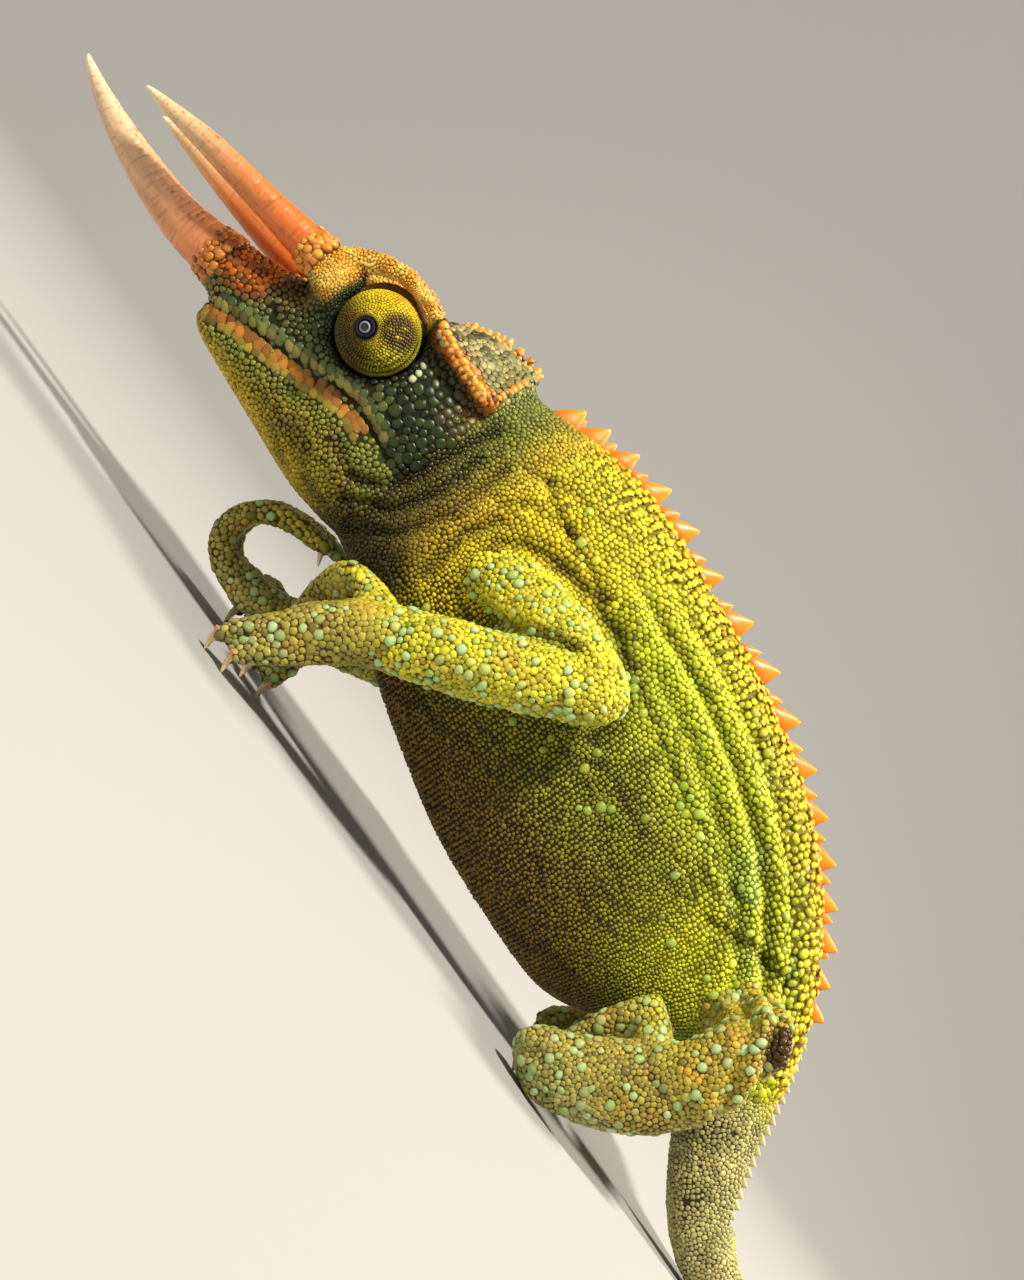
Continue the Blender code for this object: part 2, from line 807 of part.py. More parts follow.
def build_left_arm():
    shoulder = (-8.5, -7.0, 33.8)
    elbow = (11.6, -18.3, 35.6)
    wrist = (-8.2, -17.0, 19.6)
    rows = [
        [
            (*shoulder, 5.6, 5.4),
            (0.5, -13.5, 35.4, 4.9, 5.0),
            (8.0, -17.2, 36.2, 4.4, 4.5),
            (*elbow, 4.2, 4.3),
        ],
        [
            (*elbow, 4.0, 4.2),
            (6.5, -18.8, 31.8, 4.6, 4.9),
            (-0.5, -18.4, 25.7, 4.6, 4.9),
            (*wrist, 4.3, 4.5),
        ],
        [
            (-6.5, -17.2, 21.0, 4.2, 4.4),
            (-10.5, -16.8, 17.6, 4.0, 4.4),
            (-13.2, -16.6, 14.4, 3.5, 4.2),
            (-15.8, -16.8, 10.8, 3.0, 3.9),
        ],
    ]
    toes = [
        toe(-1, [(-14.0, -16.6, 13.6, 2.6, 2.6), (-18.2, -17.2, 8.6, 2.3, 2.3),
                 (-20.9, -17.5, 4.0, 1.7, 1.6), (-21.4, -17.5, 2.4, 1.3, 1.3)]),
        toe(-1, [(-12.0, -16.6, 12.6, 2.6, 2.6), (-15.4, -17.4, 7.4, 2.3, 2.3),
                 (-17.6, -17.8, 3.4, 1.7, 1.6), (-18.0, -17.9, 2.2, 1.3, 1.3)]),
        toe(-1, [(-9.5, -16.0, 20.4, 2.9, 2.6), (-14.5, -14.6, 20.6, 2.3, 2.2),
                 (-18.3, -12.4, 19.8, 2.1, 2.0), (-19.3, -8.8, 17.0, 2.2, 2.2),
                 (-18.4, -6.4, 12.0, 2.2, 2.3), (-17.4, -5.4, 6.5, 1.9, 2.0),
                 (-17.0, -5.2, 2.6, 1.4, 1.4)]),
        toe(-1, [(-15.5, -8.6, 16.5, 2.1, 2.1), (-14.6, -6.2, 10.5, 2.0, 2.0),
                 (-13.8, -5.4, 5.0, 1.6, 1.6), (-13.6, -5.2, 2.6, 1.3, 1.3)]),
        toe(-1, [(-18.6, -12.0, 19.2, 1.9, 1.9), (-15.8, -9.0, 16.5, 2.1, 2.1)]),
    ]
    claws = [
        claw((-21.5, -17.5, 2.0), (-21.0, -17.3, 0.0)),
        claw((-18.1, -17.9, 1.9), (-17.5, -17.7, 0.0)),
        claw((-17.0, -5.2, 2.2), (-16.5, -5.0, 0.0)),
        claw((-13.6, -5.2, 2.2), (-13.1, -5.0, 0.0)),
    ]
    joints = [
        (elbow, shoulder, wrist),
        ((-8.6, -17.0, 19.2), (-0.5, -18.4, 25.7), (-15.8, -16.8, 10.8)),
    ]
    names = ("upper_arm_left", "forearm_left", "hand_left")
    parts = limb(-1, names, rows, toes + claws, joints)
    level_feet(parts[2])


def build_right_arm():
    """The far arm, mostly hidden in the photo: its hand is curled, a little off the floor."""
    shoulder = (-8.5, -7.0, 33.8)
    elbow = (9.0, -17.0, 29.5)
    wrist = (-16.0, -9.0, 10.5)
    rows = [
        [
            (*shoulder, 5.6, 5.4),
            (0.0, -12.8, 32.6, 4.8, 4.9),
            (6.0, -16.0, 30.4, 4.4, 4.5),
            (*elbow, 4.2, 4.3),
        ],
        [
            (*elbow, 4.0, 4.2),
            (2.0, -15.8, 23.8, 4.4, 4.6),
            (-7.0, -12.6, 16.6, 4.2, 4.4),
            (*wrist, 3.7, 3.8),
        ],
        [
            (-14.0, -9.6, 12.0, 3.6, 3.7),
            (-19.0, -8.4, 8.6, 3.6, 3.4),
            (-24.0, -7.4, 6.8, 3.8, 2.9),
            (-28.0, -6.9, 6.7, 3.6, 2.6),
        ],
    ]
    curl = [
        (-25.0, 6.2, 2.3), (-30.8, 6.8, 2.4), (-33.9, 9.2, 2.35), (-34.1, 12.8, 2.15),
        (-32.0, 15.8, 2.0), (-28.2, 17.7, 1.9), (-24.6, 18.6, 1.7), (-22.2, 18.7, 1.4),
    ]
    toes = [
        toe(1, [(x, -8.6, z, r, r) for x, z, r in curl]),
        toe(1, [(x, -5.2, z - 0.6, r, r) for x, z, r in curl[:7]]),
        toe(1, [(-21.0, -8.8, 7.8, 2.2, 2.2), (-24.5, -12.0, 8.6, 2.1, 2.1),
                (-26.4, -15.2, 6.6, 2.0, 2.0), (-25.6, -16.6, 3.2, 1.5, 1.5)]),
        toe(1, [(-18.5, -9.6, 8.4, 2.2, 2.2), (-20.6, -13.4, 8.6, 2.1, 2.1),
                (-22.2, -16.4, 6.2, 2.0, 2.0), (-21.6, -17.6, 3.0, 1.5, 1.5)]),
        toe(1, [(-16.0, -10.0, 9.6, 2.2, 2.2), (-17.0, -14.0, 8.8, 2.1, 2.1),
                (-18.2, -17.0, 6.0, 2.0, 2.0), (-17.8, -18.0, 3.0, 1.5, 1.5)]),
    ]
    claws = [
        claw(mirrored((-22.2, -8.6, 18.8), 1), mirrored((-20.6, -8.4, 17.2), 1)),
        claw(mirrored((-24.7, -5.2, 18.0), 1), mirrored((-22.9, -5.0, 15.9), 1)),
        claw(mirrored((-25.6, -16.6, 2.7), 1), mirrored((-25.0, -16.4, 0.0), 1)),
        claw(mirrored((-21.6, -17.6, 2.5), 1), mirrored((-21.0, -17.4, 0.0), 1)),
        claw(mirrored((-17.8, -18.0, 2.5), 1), mirrored((-17.2, -17.8, 0.0), 1)),
    ]
    joints = [
        (elbow, shoulder, wrist),
        ((-15.2, -9.3, 11.2), (-7.0, -12.6, 16.6), (-24.0, -7.4, 6.8)),
    ]
    names = ("upper_arm_right", "forearm_right", "hand_right")
    parts = limb(1, names, rows, toes + claws, joints)
    level_feet(parts[2])


def build_hind_leg(side, name, back):
    """A hind leg, moved back by back millimetres: knee out, toes gripping forward."""
    hip = (57.0 + back, -3.5, 25.5)
    knee = (56.6 + back, -20.6, 27.4)
    ankle = (55.2 + back, -18.4, 14.8)
    rows = [
        [
            (*hip, 6.2, 6.2),
            (57.3 + back, -10.5, 26.4, 5.0, 5.2),
            (57.0 + back, -17.0, 27.4, 4.2, 4.4),
            (*knee, 3.9, 4.1),
        ],
        [
            (*knee, 3.8, 3.9),
            (56.5 + back, -20.2, 23.4, 4.2, 4.6),
            (56.2 + back, -19.4, 18.6, 4.5, 5.2),
            (*ankle, 4.5, 5.6),
        ],
        [
            (56.0 + back, -18.8, 17.4, 4.4, 5.4),
            (53.8 + back, -18.2, 12.6, 4.3, 6.0),
            (49.6 + back, -18.2, 8.2, 4.0, 6.0),
            (45.6 + back, -18.4, 5.2, 3.4, 5.0),
        ],
    ]
    toes = []
    for lift, reach in ((2.9, -2.2), (0.0, 0.0), (-2.0, 2.6)):
        toes.append(
            toe(side, [
                (49.0 + back + reach, -18.6, 7.2 + lift, 2.3, 2.3),
                (44.2 + back + reach, -18.8, 4.0 + lift * 0.8, 2.2, 2.3),
                (42.2 + back + reach * 0.8, -17.4, 2.6 + lift * 0.5, 2.0, 2.1),
                (43.4 + back + reach * 0.7, -15.4, 1.9 + lift * 0.2, 1.5, 1.6),
            ])
        )
    for forward in (0.0, 3.0):
        toes.append(
            toe(side, [
                (51.6 + back, -17.6, 12.8, 2.6, 2.6),
                (48.4 + back + forward * 0.5, -15.6, 17.4, 2.0, 2.1),
                (46.9 + back + forward * 0.8, -14.0, 19.2, 1.9, 2.0),
                (45.4 + back + forward, -13.2, 14.6, 1.9, 2.0),
                (44.4 + back + forward, -12.0, 8.2, 1.7, 1.8),
                (44.0 + back + forward, -11.6, 3.0, 1.3, 1.3),
            ])
        )
    claws = []
    for x, y in ((43.4 - 1.5, -15.2), (43.4, -14.9), (43.4 + 1.8, -15.2)):
        root = mirrored((x + back, y, 1.7), side)
        claws.append(claw(root, mirrored((x + back + 1.2, y + 1.6, 0.0), side)))
    for forward in (0.0, 3.0):
        root = mirrored((44.0 + back + forward, -11.6, 2.5), side)
        claws.append(claw(root, mirrored((44.5 + back + forward, -11.4, 0.0), side)))
    joints = [
        (knee, hip, ankle),
        ((55.9 + back, -18.9, 16.6), (56.5 + back, -20.2, 23.4), (52.0 + back, -18.2, 11.0)),
    ]
    names = ("thigh_" + name, "shank_" + name, "foot_" + name)
    parts = limb(side, names, rows, toes + claws, joints)
    level_feet(parts[2])


def main():
    clear_scene()
    build_trunk()
    build_tail()
    build_head()
    build_jaw()
    build_eyes()
    build_horns()
    build_left_arm()
    build_right_arm()
    build_hind_leg(-1, "left", 0.0)
    build_hind_leg(1, "right", 5.0)


main()
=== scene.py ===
"""Three-horned chameleon: skin, scales, eyes, horns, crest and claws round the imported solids.

Lengths are millimetres in the animal's own frame (x from the middle of the photo, head at
-x, left side at -y, floor at z = 0) and turn to metres of the row frame in mesh_piece.
"""

import functools
import math
from typing import NamedTuple

import bmesh
import bpy
import numpy as np
from mathutils import Matrix, Vector
from mathutils.bvhtree import BVHTree
from mathutils.kdtree import KDTree


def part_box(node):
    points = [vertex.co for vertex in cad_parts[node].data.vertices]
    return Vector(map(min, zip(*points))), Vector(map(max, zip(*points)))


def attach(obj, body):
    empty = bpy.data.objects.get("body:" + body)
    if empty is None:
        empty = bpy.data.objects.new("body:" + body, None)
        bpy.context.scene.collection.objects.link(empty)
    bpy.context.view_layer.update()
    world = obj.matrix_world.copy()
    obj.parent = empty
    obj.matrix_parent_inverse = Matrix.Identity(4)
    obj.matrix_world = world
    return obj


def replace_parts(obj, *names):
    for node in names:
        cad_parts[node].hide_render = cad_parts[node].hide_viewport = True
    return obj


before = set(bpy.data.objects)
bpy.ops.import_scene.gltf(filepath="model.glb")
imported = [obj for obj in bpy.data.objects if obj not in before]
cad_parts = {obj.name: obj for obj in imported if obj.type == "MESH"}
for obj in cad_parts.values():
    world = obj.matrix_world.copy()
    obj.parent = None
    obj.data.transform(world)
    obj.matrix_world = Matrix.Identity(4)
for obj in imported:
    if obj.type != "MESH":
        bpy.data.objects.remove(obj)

bl_info = {
    "name": "Three-horned Chameleon",
    "version": (1, 0, 0),
    "blender": (4, 5, 0),
    "location": "3D View > Sidebar > Chameleon",
    "description": "Builds the skin, scales, eyes, horns, crest and claws of a still chameleon",
    "category": "Add Mesh",
}

MM = 0.001
# The row frame's origin, in the animal's own frame.
MIDDLE = np.array([10.7, 0.0, 0.0])
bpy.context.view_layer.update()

# The camera stands this far to the animal's left, and was rolled as the photo was held.
CAMERA_DISTANCE = 270.0
CAMERA_HEIGHT = 31.0
CAMERA_ROLL = math.radians(54.2)
CAMERA_LENS = 58.5

# The left eye; the right one is mirrored. All of these are as in the solids.
EYE = np.array([-41.3, -7.2, 40.0])
EYE_RADIUS = 5.7
PUPIL = np.array([-41.9, -11.75, 39.1])
PUPIL_RADIUS = 1.35
NOSTRIL = np.array([-51.7, -4.9, 31.0])

LEG_NODES = (
    "upper_arm_left", "upper_arm_right", "forearm_left", "forearm_right", "hand_left",
    "hand_right", "thigh_left", "thigh_right", "shank_left", "shank_right", "foot_left",
    "foot_right",
)
FLESH_NODES = (
    "head", "lower_jaw", "neck", "torso", "tail_1", "tail_2", "tail_3", "tail_4", "tail_5",
    *LEG_NODES,
)

# The line between the lips in the side view (x, z).
MOUTH = ((-59.0, 24.6), (-56.8, 25.2), (-54.5, 26.3), (-49.3, 27.9), (-44.0, 29.7),
         (-39.0, 31.6), (-36.0, 32.3), (-30.0, 31.9), (-27.2, 31.2))

# The casque's ridges on the left side, and the one along its top.
CREST_PATH = ((-53.4, -4.6, 43.4), (-50.6, -5.2, 45.2), (-48.0, -6.2, 47.0),
              (-44.5, -7.4, 48.3), (-41.0, -8.0, 48.7), (-38.4, -8.2, 48.4))
SIDE_CREST_PATH = ((-37.0, -8.9, 47.2), (-33.5, -9.0, 46.6), (-30.0, -8.8, 46.3),
                   (-26.6, -8.3, 46.4))
REAR_CREST_PATH = ((-25.7, -7.3, 47.6), (-25.4, -6.0, 49.8), (-25.4, -4.0, 52.0))
TOP_CREST_PATH = ((-37.0, 0.0, 50.8), (-34.0, 0.0, 52.6), (-31.0, 0.0, 53.8),
                  (-27.5, 0.0, 54.7), (-25.2, 0.0, 54.3))

SIDES = ((1, "left"), (-1, "right"))
# Where the flank's pieces of scales end and the rear's begin, and the fore and hind legs'.
TRUNK_SPLIT = 22.0
LEG_SPLIT = 30.0

# The seed of each build step's random draws.
SEEDS = {"scales": 4, "head_crests": 9, "eyes": 33, "collars": 77, "back_crest": 15}


def linear(code):
    """Linear red, green and blue of an sRGB hex colour."""
    channels = np.array([int(code[i : i + 2], 16) / 255 for i in (1, 3, 5)])
    return np.where(channels <= 0.04045, channels / 12.92, ((channels + 0.055) / 1.055) ** 2.4)


def ramp(value, low, high):
    """Smoothstep from 0 at low to 1 at high, where high may be the smaller."""
    t = np.clip((value - low) / (high - low), 0.0, 1.0)
    return t * t * (3 - 2 * t)


def mix(first, second, weight):
    """The first colours at weight 0, the second at 1, and a straight run between."""
    weight = np.asarray(weight)[..., None]
    return first * (1 - weight) + second * weight


def between(first, second, weight):
    """Linear colours between two sRGB hex colours."""
    return mix(linear(first), linear(second), weight)


def paint(tint, code, share):
    """Lays a colour over the tint, as strongly as share says."""
    return mix(tint, linear(code), share)


RIPPLE_WAVES = 7


def ripple(points, wavelength, seed):
    """Smooth noise about -1 to 1: a mean of sine waves that run in seeded directions."""
    draw = np.random.default_rng(seed)
    total = np.zeros(len(points))
    for _ in range(RIPPLE_WAVES):
        way = draw.normal(size=3)
        way *= 2 * math.pi / (wavelength * draw.uniform(0.7, 1.5) * np.linalg.norm(way))
        total += np.sin(points @ way + draw.uniform(0, 2 * math.pi))
    return total / math.sqrt(RIPPLE_WAVES) * 0.8


def smooth_rows(rows, steps):
    """Catmull-Rom rows through the control rows, with steps spans between two of them."""
    rows = np.asarray(rows, float)
    padded = np.vstack([2 * rows[0] - rows[1], rows, 2 * rows[-1] - rows[-2]])
    p0, p1, p2, p3 = (padded[i : len(rows) - 1 + i, None] for i in range(4))
    t = (np.arange(steps) / steps)[None, :, None]
    spans = 0.5 * (
        2 * p1
        + (p2 - p0) * t
        + (2 * p0 - 5 * p1 + 4 * p2 - p3) * t**2
        + (3 * p1 - p0 - 3 * p2 + p3) * t**3
    )
    return np.vstack([spans.reshape(-1, rows.shape[1]), rows[-1]])


def run_along(points):
    """How far along the line each of its points lies."""
    return np.concatenate([[0], np.cumsum(np.linalg.norm(np.diff(points, axis=0), axis=1))])


def along_path(rows, pitch):
    """Rows evenly pitch apart along a smooth path, by interpolating on its length."""
    fine = smooth_rows(rows, 16)
    run = run_along(fine[:, :3])
    places = np.arange(0, run[-1], pitch)
    return np.column_stack([np.interp(places, run, column) for column in fine.T])


def unit(vectors):
    """The vectors, scaled to length 1."""
    return vectors / np.maximum(np.linalg.norm(vectors, axis=-1, keepdims=True), 1e-12)


def circle(count, shift=0.0):
    """Angles that divide a full turn evenly, moved on by a share of a step."""
    return (np.arange(count) + shift) * 2 * math.pi / count


def mirrored(rows):
    """The rows on the animal's other side."""
    rows = np.array(rows, float)
    rows[:, 1] *= -1
    return rows


def left_side(points):
    """The points, with those of the right side mirrored to the left."""
    return np.column_stack([points[:, 0], -np.abs(points[:, 1]), points[:, 2]])


def add_node(tree, kind, settings=None, links=None):
    """Adds a shader node, sets sockets or properties by name, and links named inputs."""
    node = tree.nodes.new(kind)
    for key, value in (settings or {}).items():
        if isinstance(key, str) and key in node.bl_rna.properties:
            setattr(node, key, value)
        else:
            node.inputs[key].default_value = value
    for key, socket in (links or {}).items():
        tree.links.new(socket, node.inputs[key])
    return node


def new_material(name):
    """A material with only its output, and the Principled shader that feeds it."""
    material = bpy.data.materials.new(name)
    material.use_nodes = True
    tree = material.node_tree
    tree.nodes.clear()
    shader = add_node(tree, "ShaderNodeBsdfPrincipled")
    output = add_node(tree, "ShaderNodeOutputMaterial")
    tree.links.new(shader.outputs["BSDF"], output.inputs["Surface"])
    return material, tree, shader


BUMP_HEIGHT = 0.08
COAT_ROUGHNESS = 0.3


def tinted_material(name, roughness, grain_mm, grain_share, bump, coat=0.0, gloss=0.5):
    """Colour from the tint attribute, broken by a grain of so many millimetres that also
    makes the bump, under a thin clear coat. Made once and shared."""
    if name in bpy.data.materials:
        return bpy.data.materials[name]
    material, tree, shader = new_material(name)
    place = add_node(tree, "ShaderNodeTexCoord")
    tint = add_node(tree, "ShaderNodeAttribute", {"attribute_name": "tint"})
    grain = add_node(
        tree,
        "ShaderNodeTexNoise",
        {"Scale": 1.0 / (grain_mm * MM), "Detail": 3.0, "Roughness": 0.6},
        {"Vector": place.outputs["Object"]},
    )
    strength = add_node(
        tree,
        "ShaderNodeMapRange",
        {"To Min": 1.0 - grain_share, "To Max": 1.0 + grain_share},
        {"Value": grain.outputs["Fac"]},
    )
    painted = add_node(
        tree,
        "ShaderNodeVectorMath",
        {"operation": "SCALE"},
        {0: tint.outputs["Color"], "Scale": strength.outputs["Result"]},
    )
    relief = add_node(
        tree,
        "ShaderNodeBump",
        {"Strength": bump, "Distance": BUMP_HEIGHT * MM},
        {"Height": grain.outputs["Fac"]},
    )
    tree.links.new(painted.outputs["Vector"], shader.inputs["Base Color"])
    tree.links.new(relief.outputs["Normal"], shader.inputs["Normal"])
    shader.inputs["Roughness"].default_value = roughness
    shader.inputs["Specular IOR Level"].default_value = gloss
    shader.inputs["Coat Weight"].default_value = coat
    shader.inputs["Coat Roughness"].default_value = COAT_ROUGHNESS
    return material


def beaded_keratin():
    """Beta-keratin scales, grown as small domes: waxy, with a soft gloss on each bead."""
    return tinted_material("beaded_keratin", 0.36, 0.25, 0.16, 0.35, coat=0.03, gloss=0.32)


def interscale_skin():
    """Thin folded skin between the scales: matt, darker and wrinkled."""
    return tinted_material("interscale_skin", 0.7, 0.3, 0.25, 0.6, gloss=0.2)


def horn_keratin():
    """Solid keratin laid down in rings: satin, with a fine grain along the rings."""
    return tinted_material("ringed_horn_keratin", 0.42, 0.35, 0.12, 0.5, coat=0.12)


def crest_keratin():
    """Beta-keratin cones of the crests: smoother and a little glossier than the beads."""
    return tinted_material("crest_keratin", 0.4, 0.3, 0.12, 0.3, coat=0.12)


def wet_cornea():
    """A living eye's wet surface: near mirror-smooth clear film over dark pigment."""
    return tinted_material("wet_cornea", 0.06, 0.5, 0.02, 0.0, coat=0.6, gloss=0.4)


def claw_keratin():
    """Pale solid keratin, worn smooth by gripping: a clean small highlight."""
    return tinted_material("claw_keratin", 0.32, 0.3, 0.1, 0.2, coat=0.2)


def mesh_piece(name, points, faces, tint, material, slot, uv=None):
    """An object from arrays: points in animal millimetres, triangles or quads, linear tint."""
    faces = np.asarray(faces, np.int32)
    corners = faces.shape[1]
    mesh = bpy.data.meshes.new(name)
    mesh.vertices.add(len(points))
    mesh.vertices.foreach_set("co", ((points - MIDDLE) * MM).astype(np.float32).ravel())
    mesh.loops.add(faces.size)
    mesh.loops.foreach_set("vertex_index", faces.ravel())
    mesh.polygons.add(len(faces))
    mesh.polygons.foreach_set("loop_start", np.arange(0, faces.size, corners, dtype=np.int32))
    mesh.polygons.foreach_set("use_smooth", np.ones(len(faces), bool))
    mesh.update(calc_edges=True)
    colour = np.ones((len(points), 4), np.float32)
    colour[:, :3] = tint
    layer = mesh.attributes.new("tint", "FLOAT_COLOR", "POINT")
    layer.data.foreach_set("color", colour.ravel())
    if uv is not None:
        bake = mesh.uv_layers.new(name="OFBake")
        bake.data.foreach_set("uv", uv[faces.ravel()].astype(np.float32).ravel())
    mesh.materials.append(material)
    piece = bpy.data.objects.new(name, mesh)
    bpy.context.scene.collection.objects.link(piece)
    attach(piece, "root")
    return piece


def grid_faces(rows, columns, ring=False):
    """Quads of a grid that closes round its columns, and as a ring round its rows too."""
    i, j = np.meshgrid(np.arange(rows if ring else rows - 1), np.arange(columns), indexing="ij")
    below, beside = (i + 1) % rows, (j + 1) % columns
    corners = ((i, j), (i, beside), (below, beside), (below, j))
    return np.stack([row * columns + column for row, column in corners], axis=-1).reshape(-1, 4)


def merged(shapes):
    """Several shapes as one: their points, their faces counted on, and all that follows."""
    points, faces, *others = zip(*shapes)
    first = np.cumsum([0] + [len(each) for each in points])
    faces = [each + start for each, start in zip(faces, first)]
    return [np.concatenate(rows) for rows in (points, faces, *others)]


def mesh_arrays(mesh):
    """A mesh's points, as they are stored in metres, and its triangles."""
    mesh.calc_loop_triangles()
    points = np.empty(len(mesh.vertices) * 3, np.float32)
    mesh.vertices.foreach_get("co", points)
    faces = np.empty(len(mesh.loop_triangles) * 3, np.int32)
    mesh.loop_triangles.foreach_get("vertices", faces)
    return points.reshape(-1, 3), faces.reshape(-1, 3)


def swept(path, radii, sides):
    """A tube: circle points carried along a path on frames that turn with it."""
    side = np.array([0.0, 1.0, 0.0])
    frames = []
    for forward in unit(np.gradient(path, axis=0)):
        side = unit(side - forward * np.dot(side, forward))
        frames.append((side, np.cross(forward, side)))
    across, other = np.swapaxes(frames, 0, 1)[:, :, None]
    turn = circle(sides)[:, None]
    out = across * np.cos(turn) + other * np.sin(turn)
    return (path[:, None] + out * radii[:, None, None]).reshape(-1, 3)


def close_ends(piece):
    """Closes the ends of the piece's tubes or balls, and turns all its faces outwards."""
    shape = bmesh.new()
    shape.from_mesh(piece.data)
    open_edges = [edge for edge in shape.edges if edge.is_boundary]
    bmesh.ops.holes_fill(shape, edges=open_edges)
    bmesh.ops.recalc_face_normals(shape, faces=shape.faces)
    shape.to_mesh(piece.data)
    shape.free()
    return piece


# The skin


# How far the solids' copies grow, which closes the cuts between them.
SKIN_GROWTH = 0.24
SKIN_VOXEL = 0.46
# How far the skin lies under the solids' faces: the scales fill this room.
SKIN_DEPTH = 0.36
SKIN_OVER_FLOOR = 0.05
SKIN_TRIANGLES = 190000


def joined_flesh():
    """Copies of the flesh solids, merged, in one mesh that is grown to close the gaps."""
    group = bmesh.new()
    for name in FLESH_NODES:
        group.from_mesh(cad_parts[name].data)
    bmesh.ops.remove_doubles(group, verts=group.verts, dist=1e-6)
    bmesh.ops.recalc_face_normals(group, faces=group.faces)
    group.normal_update()
    for vert in group.verts:
        vert.co += vert.normal * (SKIN_GROWTH * MM)
    mesh = bpy.data.meshes.new("flesh")
    group.to_mesh(mesh)
    group.free()
    return mesh


def modified(mesh, kind, settings):
    """Points in animal millimetres and triangles of a mesh after one Blender modifier."""
    holder = bpy.data.objects.new("flesh", mesh)
    bpy.context.scene.collection.objects.link(holder)
    modifier = holder.modifiers.new("shape", kind)
    for name, value in settings.items():
        setattr(modifier, name, value)
    bpy.context.view_layer.update()
    graph = bpy.context.evaluated_depsgraph_get()
    made = bpy.data.meshes.new_from_object(holder.evaluated_get(graph))
    points, faces = mesh_arrays(made)
    bpy.data.objects.remove(holder)
    bpy.data.meshes.remove(made)
    return points.astype(float) / MM + MIDDLE, faces


def thinned(points, faces, most):
    """The same surface in fewer triangles, larger where it is flat."""
    mesh = bpy.data.meshes.new("skin_draft")
    mesh.from_pydata(((points - MIDDLE) * MM).tolist(), [], faces.tolist())
    return modified(mesh, "DECIMATE", {"ratio": most / len(faces)})


def largest_body(points, faces):
    """Leaves out the specks that a voxel remesh makes at thin tips: each vertex takes the
    least number among its neighbours' until nothing changes, and the commonest one stays."""
    label = np.arange(len(points))
    a, b = mesh_edges(faces).T
    while True:
        least = np.minimum(label[a], label[b])
        after = label.copy()
        np.minimum.at(after, a, least)
        np.minimum.at(after, b, least)
        after = after[after]
        if (after == label).all():
            break
        label = after
    kept = label == np.bincount(label).argmax()
    place = np.cumsum(kept) - 1
    return points[kept], place[faces[kept[faces[:, 0]]]]


def mesh_edges(faces):
    """The two ends of each edge, every edge once."""
    ends = np.concatenate([faces[:, [0, 1]], faces[:, [1, 2]], faces[:, [2, 0]]])
    return np.unique(np.sort(ends, axis=1), axis=0)


def averaged(values, edges, count):
    """Each vertex's mean over its neighbours, by summing along the edges."""
    a, b = edges.T
    degree = np.bincount(a, minlength=count) + np.bincount(b, minlength=count)
    columns = [
        np.bincount(a, values[b, k], count) + np.bincount(b, values[a, k], count)
        for k in range(values.shape[1])
    ]
    return np.column_stack(columns) / np.maximum(degree, 1)[:, None]


def evened(points, edges, rounds, share):
    """Moves each point to the mean of its neighbours by a share of the way, round by round."""
    for _ in range(rounds):
        points = points + share * (averaged(points, edges, len(points)) - points)
    return points


def vertex_normals(points, faces):
    """Each vertex's normal, as the sum of its faces' normals by their area."""
    a, b, c = (points[faces[:, k]] for k in range(3))
    normal = np.cross(b - a, c - a)
    columns = [
        sum(np.bincount(faces[:, corner], normal[:, k], len(points)) for corner in range(3))
        for k in range(3)
    ]
    return unit(np.column_stack(columns))


def path_distance(flat, path):
    """Distance of each flat point from a polyline, as the least over its pieces."""
    path = np.asarray(path, float)
    best = np.full(len(flat), np.inf)
    for start, end in zip(path[:-1], path[1:]):
        run = end - start
        t = np.clip((flat - start) @ run / (run @ run), 0, 1)
        away = flat - (start + t[:, None] * run)
        best = np.minimum(best, np.einsum("ij,ij->i", away, away))
    return np.sqrt(best)


def mouth_height(x):
    """Height over the floor of the line between the lips."""
    return np.interp(x, *np.transpose(MOUTH))


def back_height(x):
    """Height of the back's middle line over the floor, from the back's own outline."""
    return np.interp(
        x,
        (-24.5, -20, -14, -9, -4, 1, 6, 11, 16, 21, 26, 31, 36, 41, 46, 50.5, 55.3, 60.2, 63.1,
         67.4, 69.8, 72.6, 75.5, 79.3),
        (52.2, 53.4, 55.5, 56.8, 57.1, 57.2, 56.6, 56, 55.7, 55.2, 54.2, 53, 51.5, 49.7, 47.4,
         44.7, 41.3, 36.6, 33.5, 26.9, 22.8, 17.7, 13.1, 7.7),
    )


# The stretch of the back (x) that the crest and its ribs stand on.
BACK_START, BACK_END = -24.0, 79.0


def back_line():
    """Points along the back's outline in the side view, with its direction at each."""
    x = np.arange(BACK_START, BACK_END, 0.25)
    line = np.column_stack([x, back_height(x)])
    return line, unit(np.gradient(line, axis=0))


def below_back(x, z):
    """Distance of a side-view point below the back's outline, across the outline's slope."""
    slope = back_height(x + 0.5) - back_height(x - 0.5)
    return (back_height(x) - z) / np.hypot(1, slope)


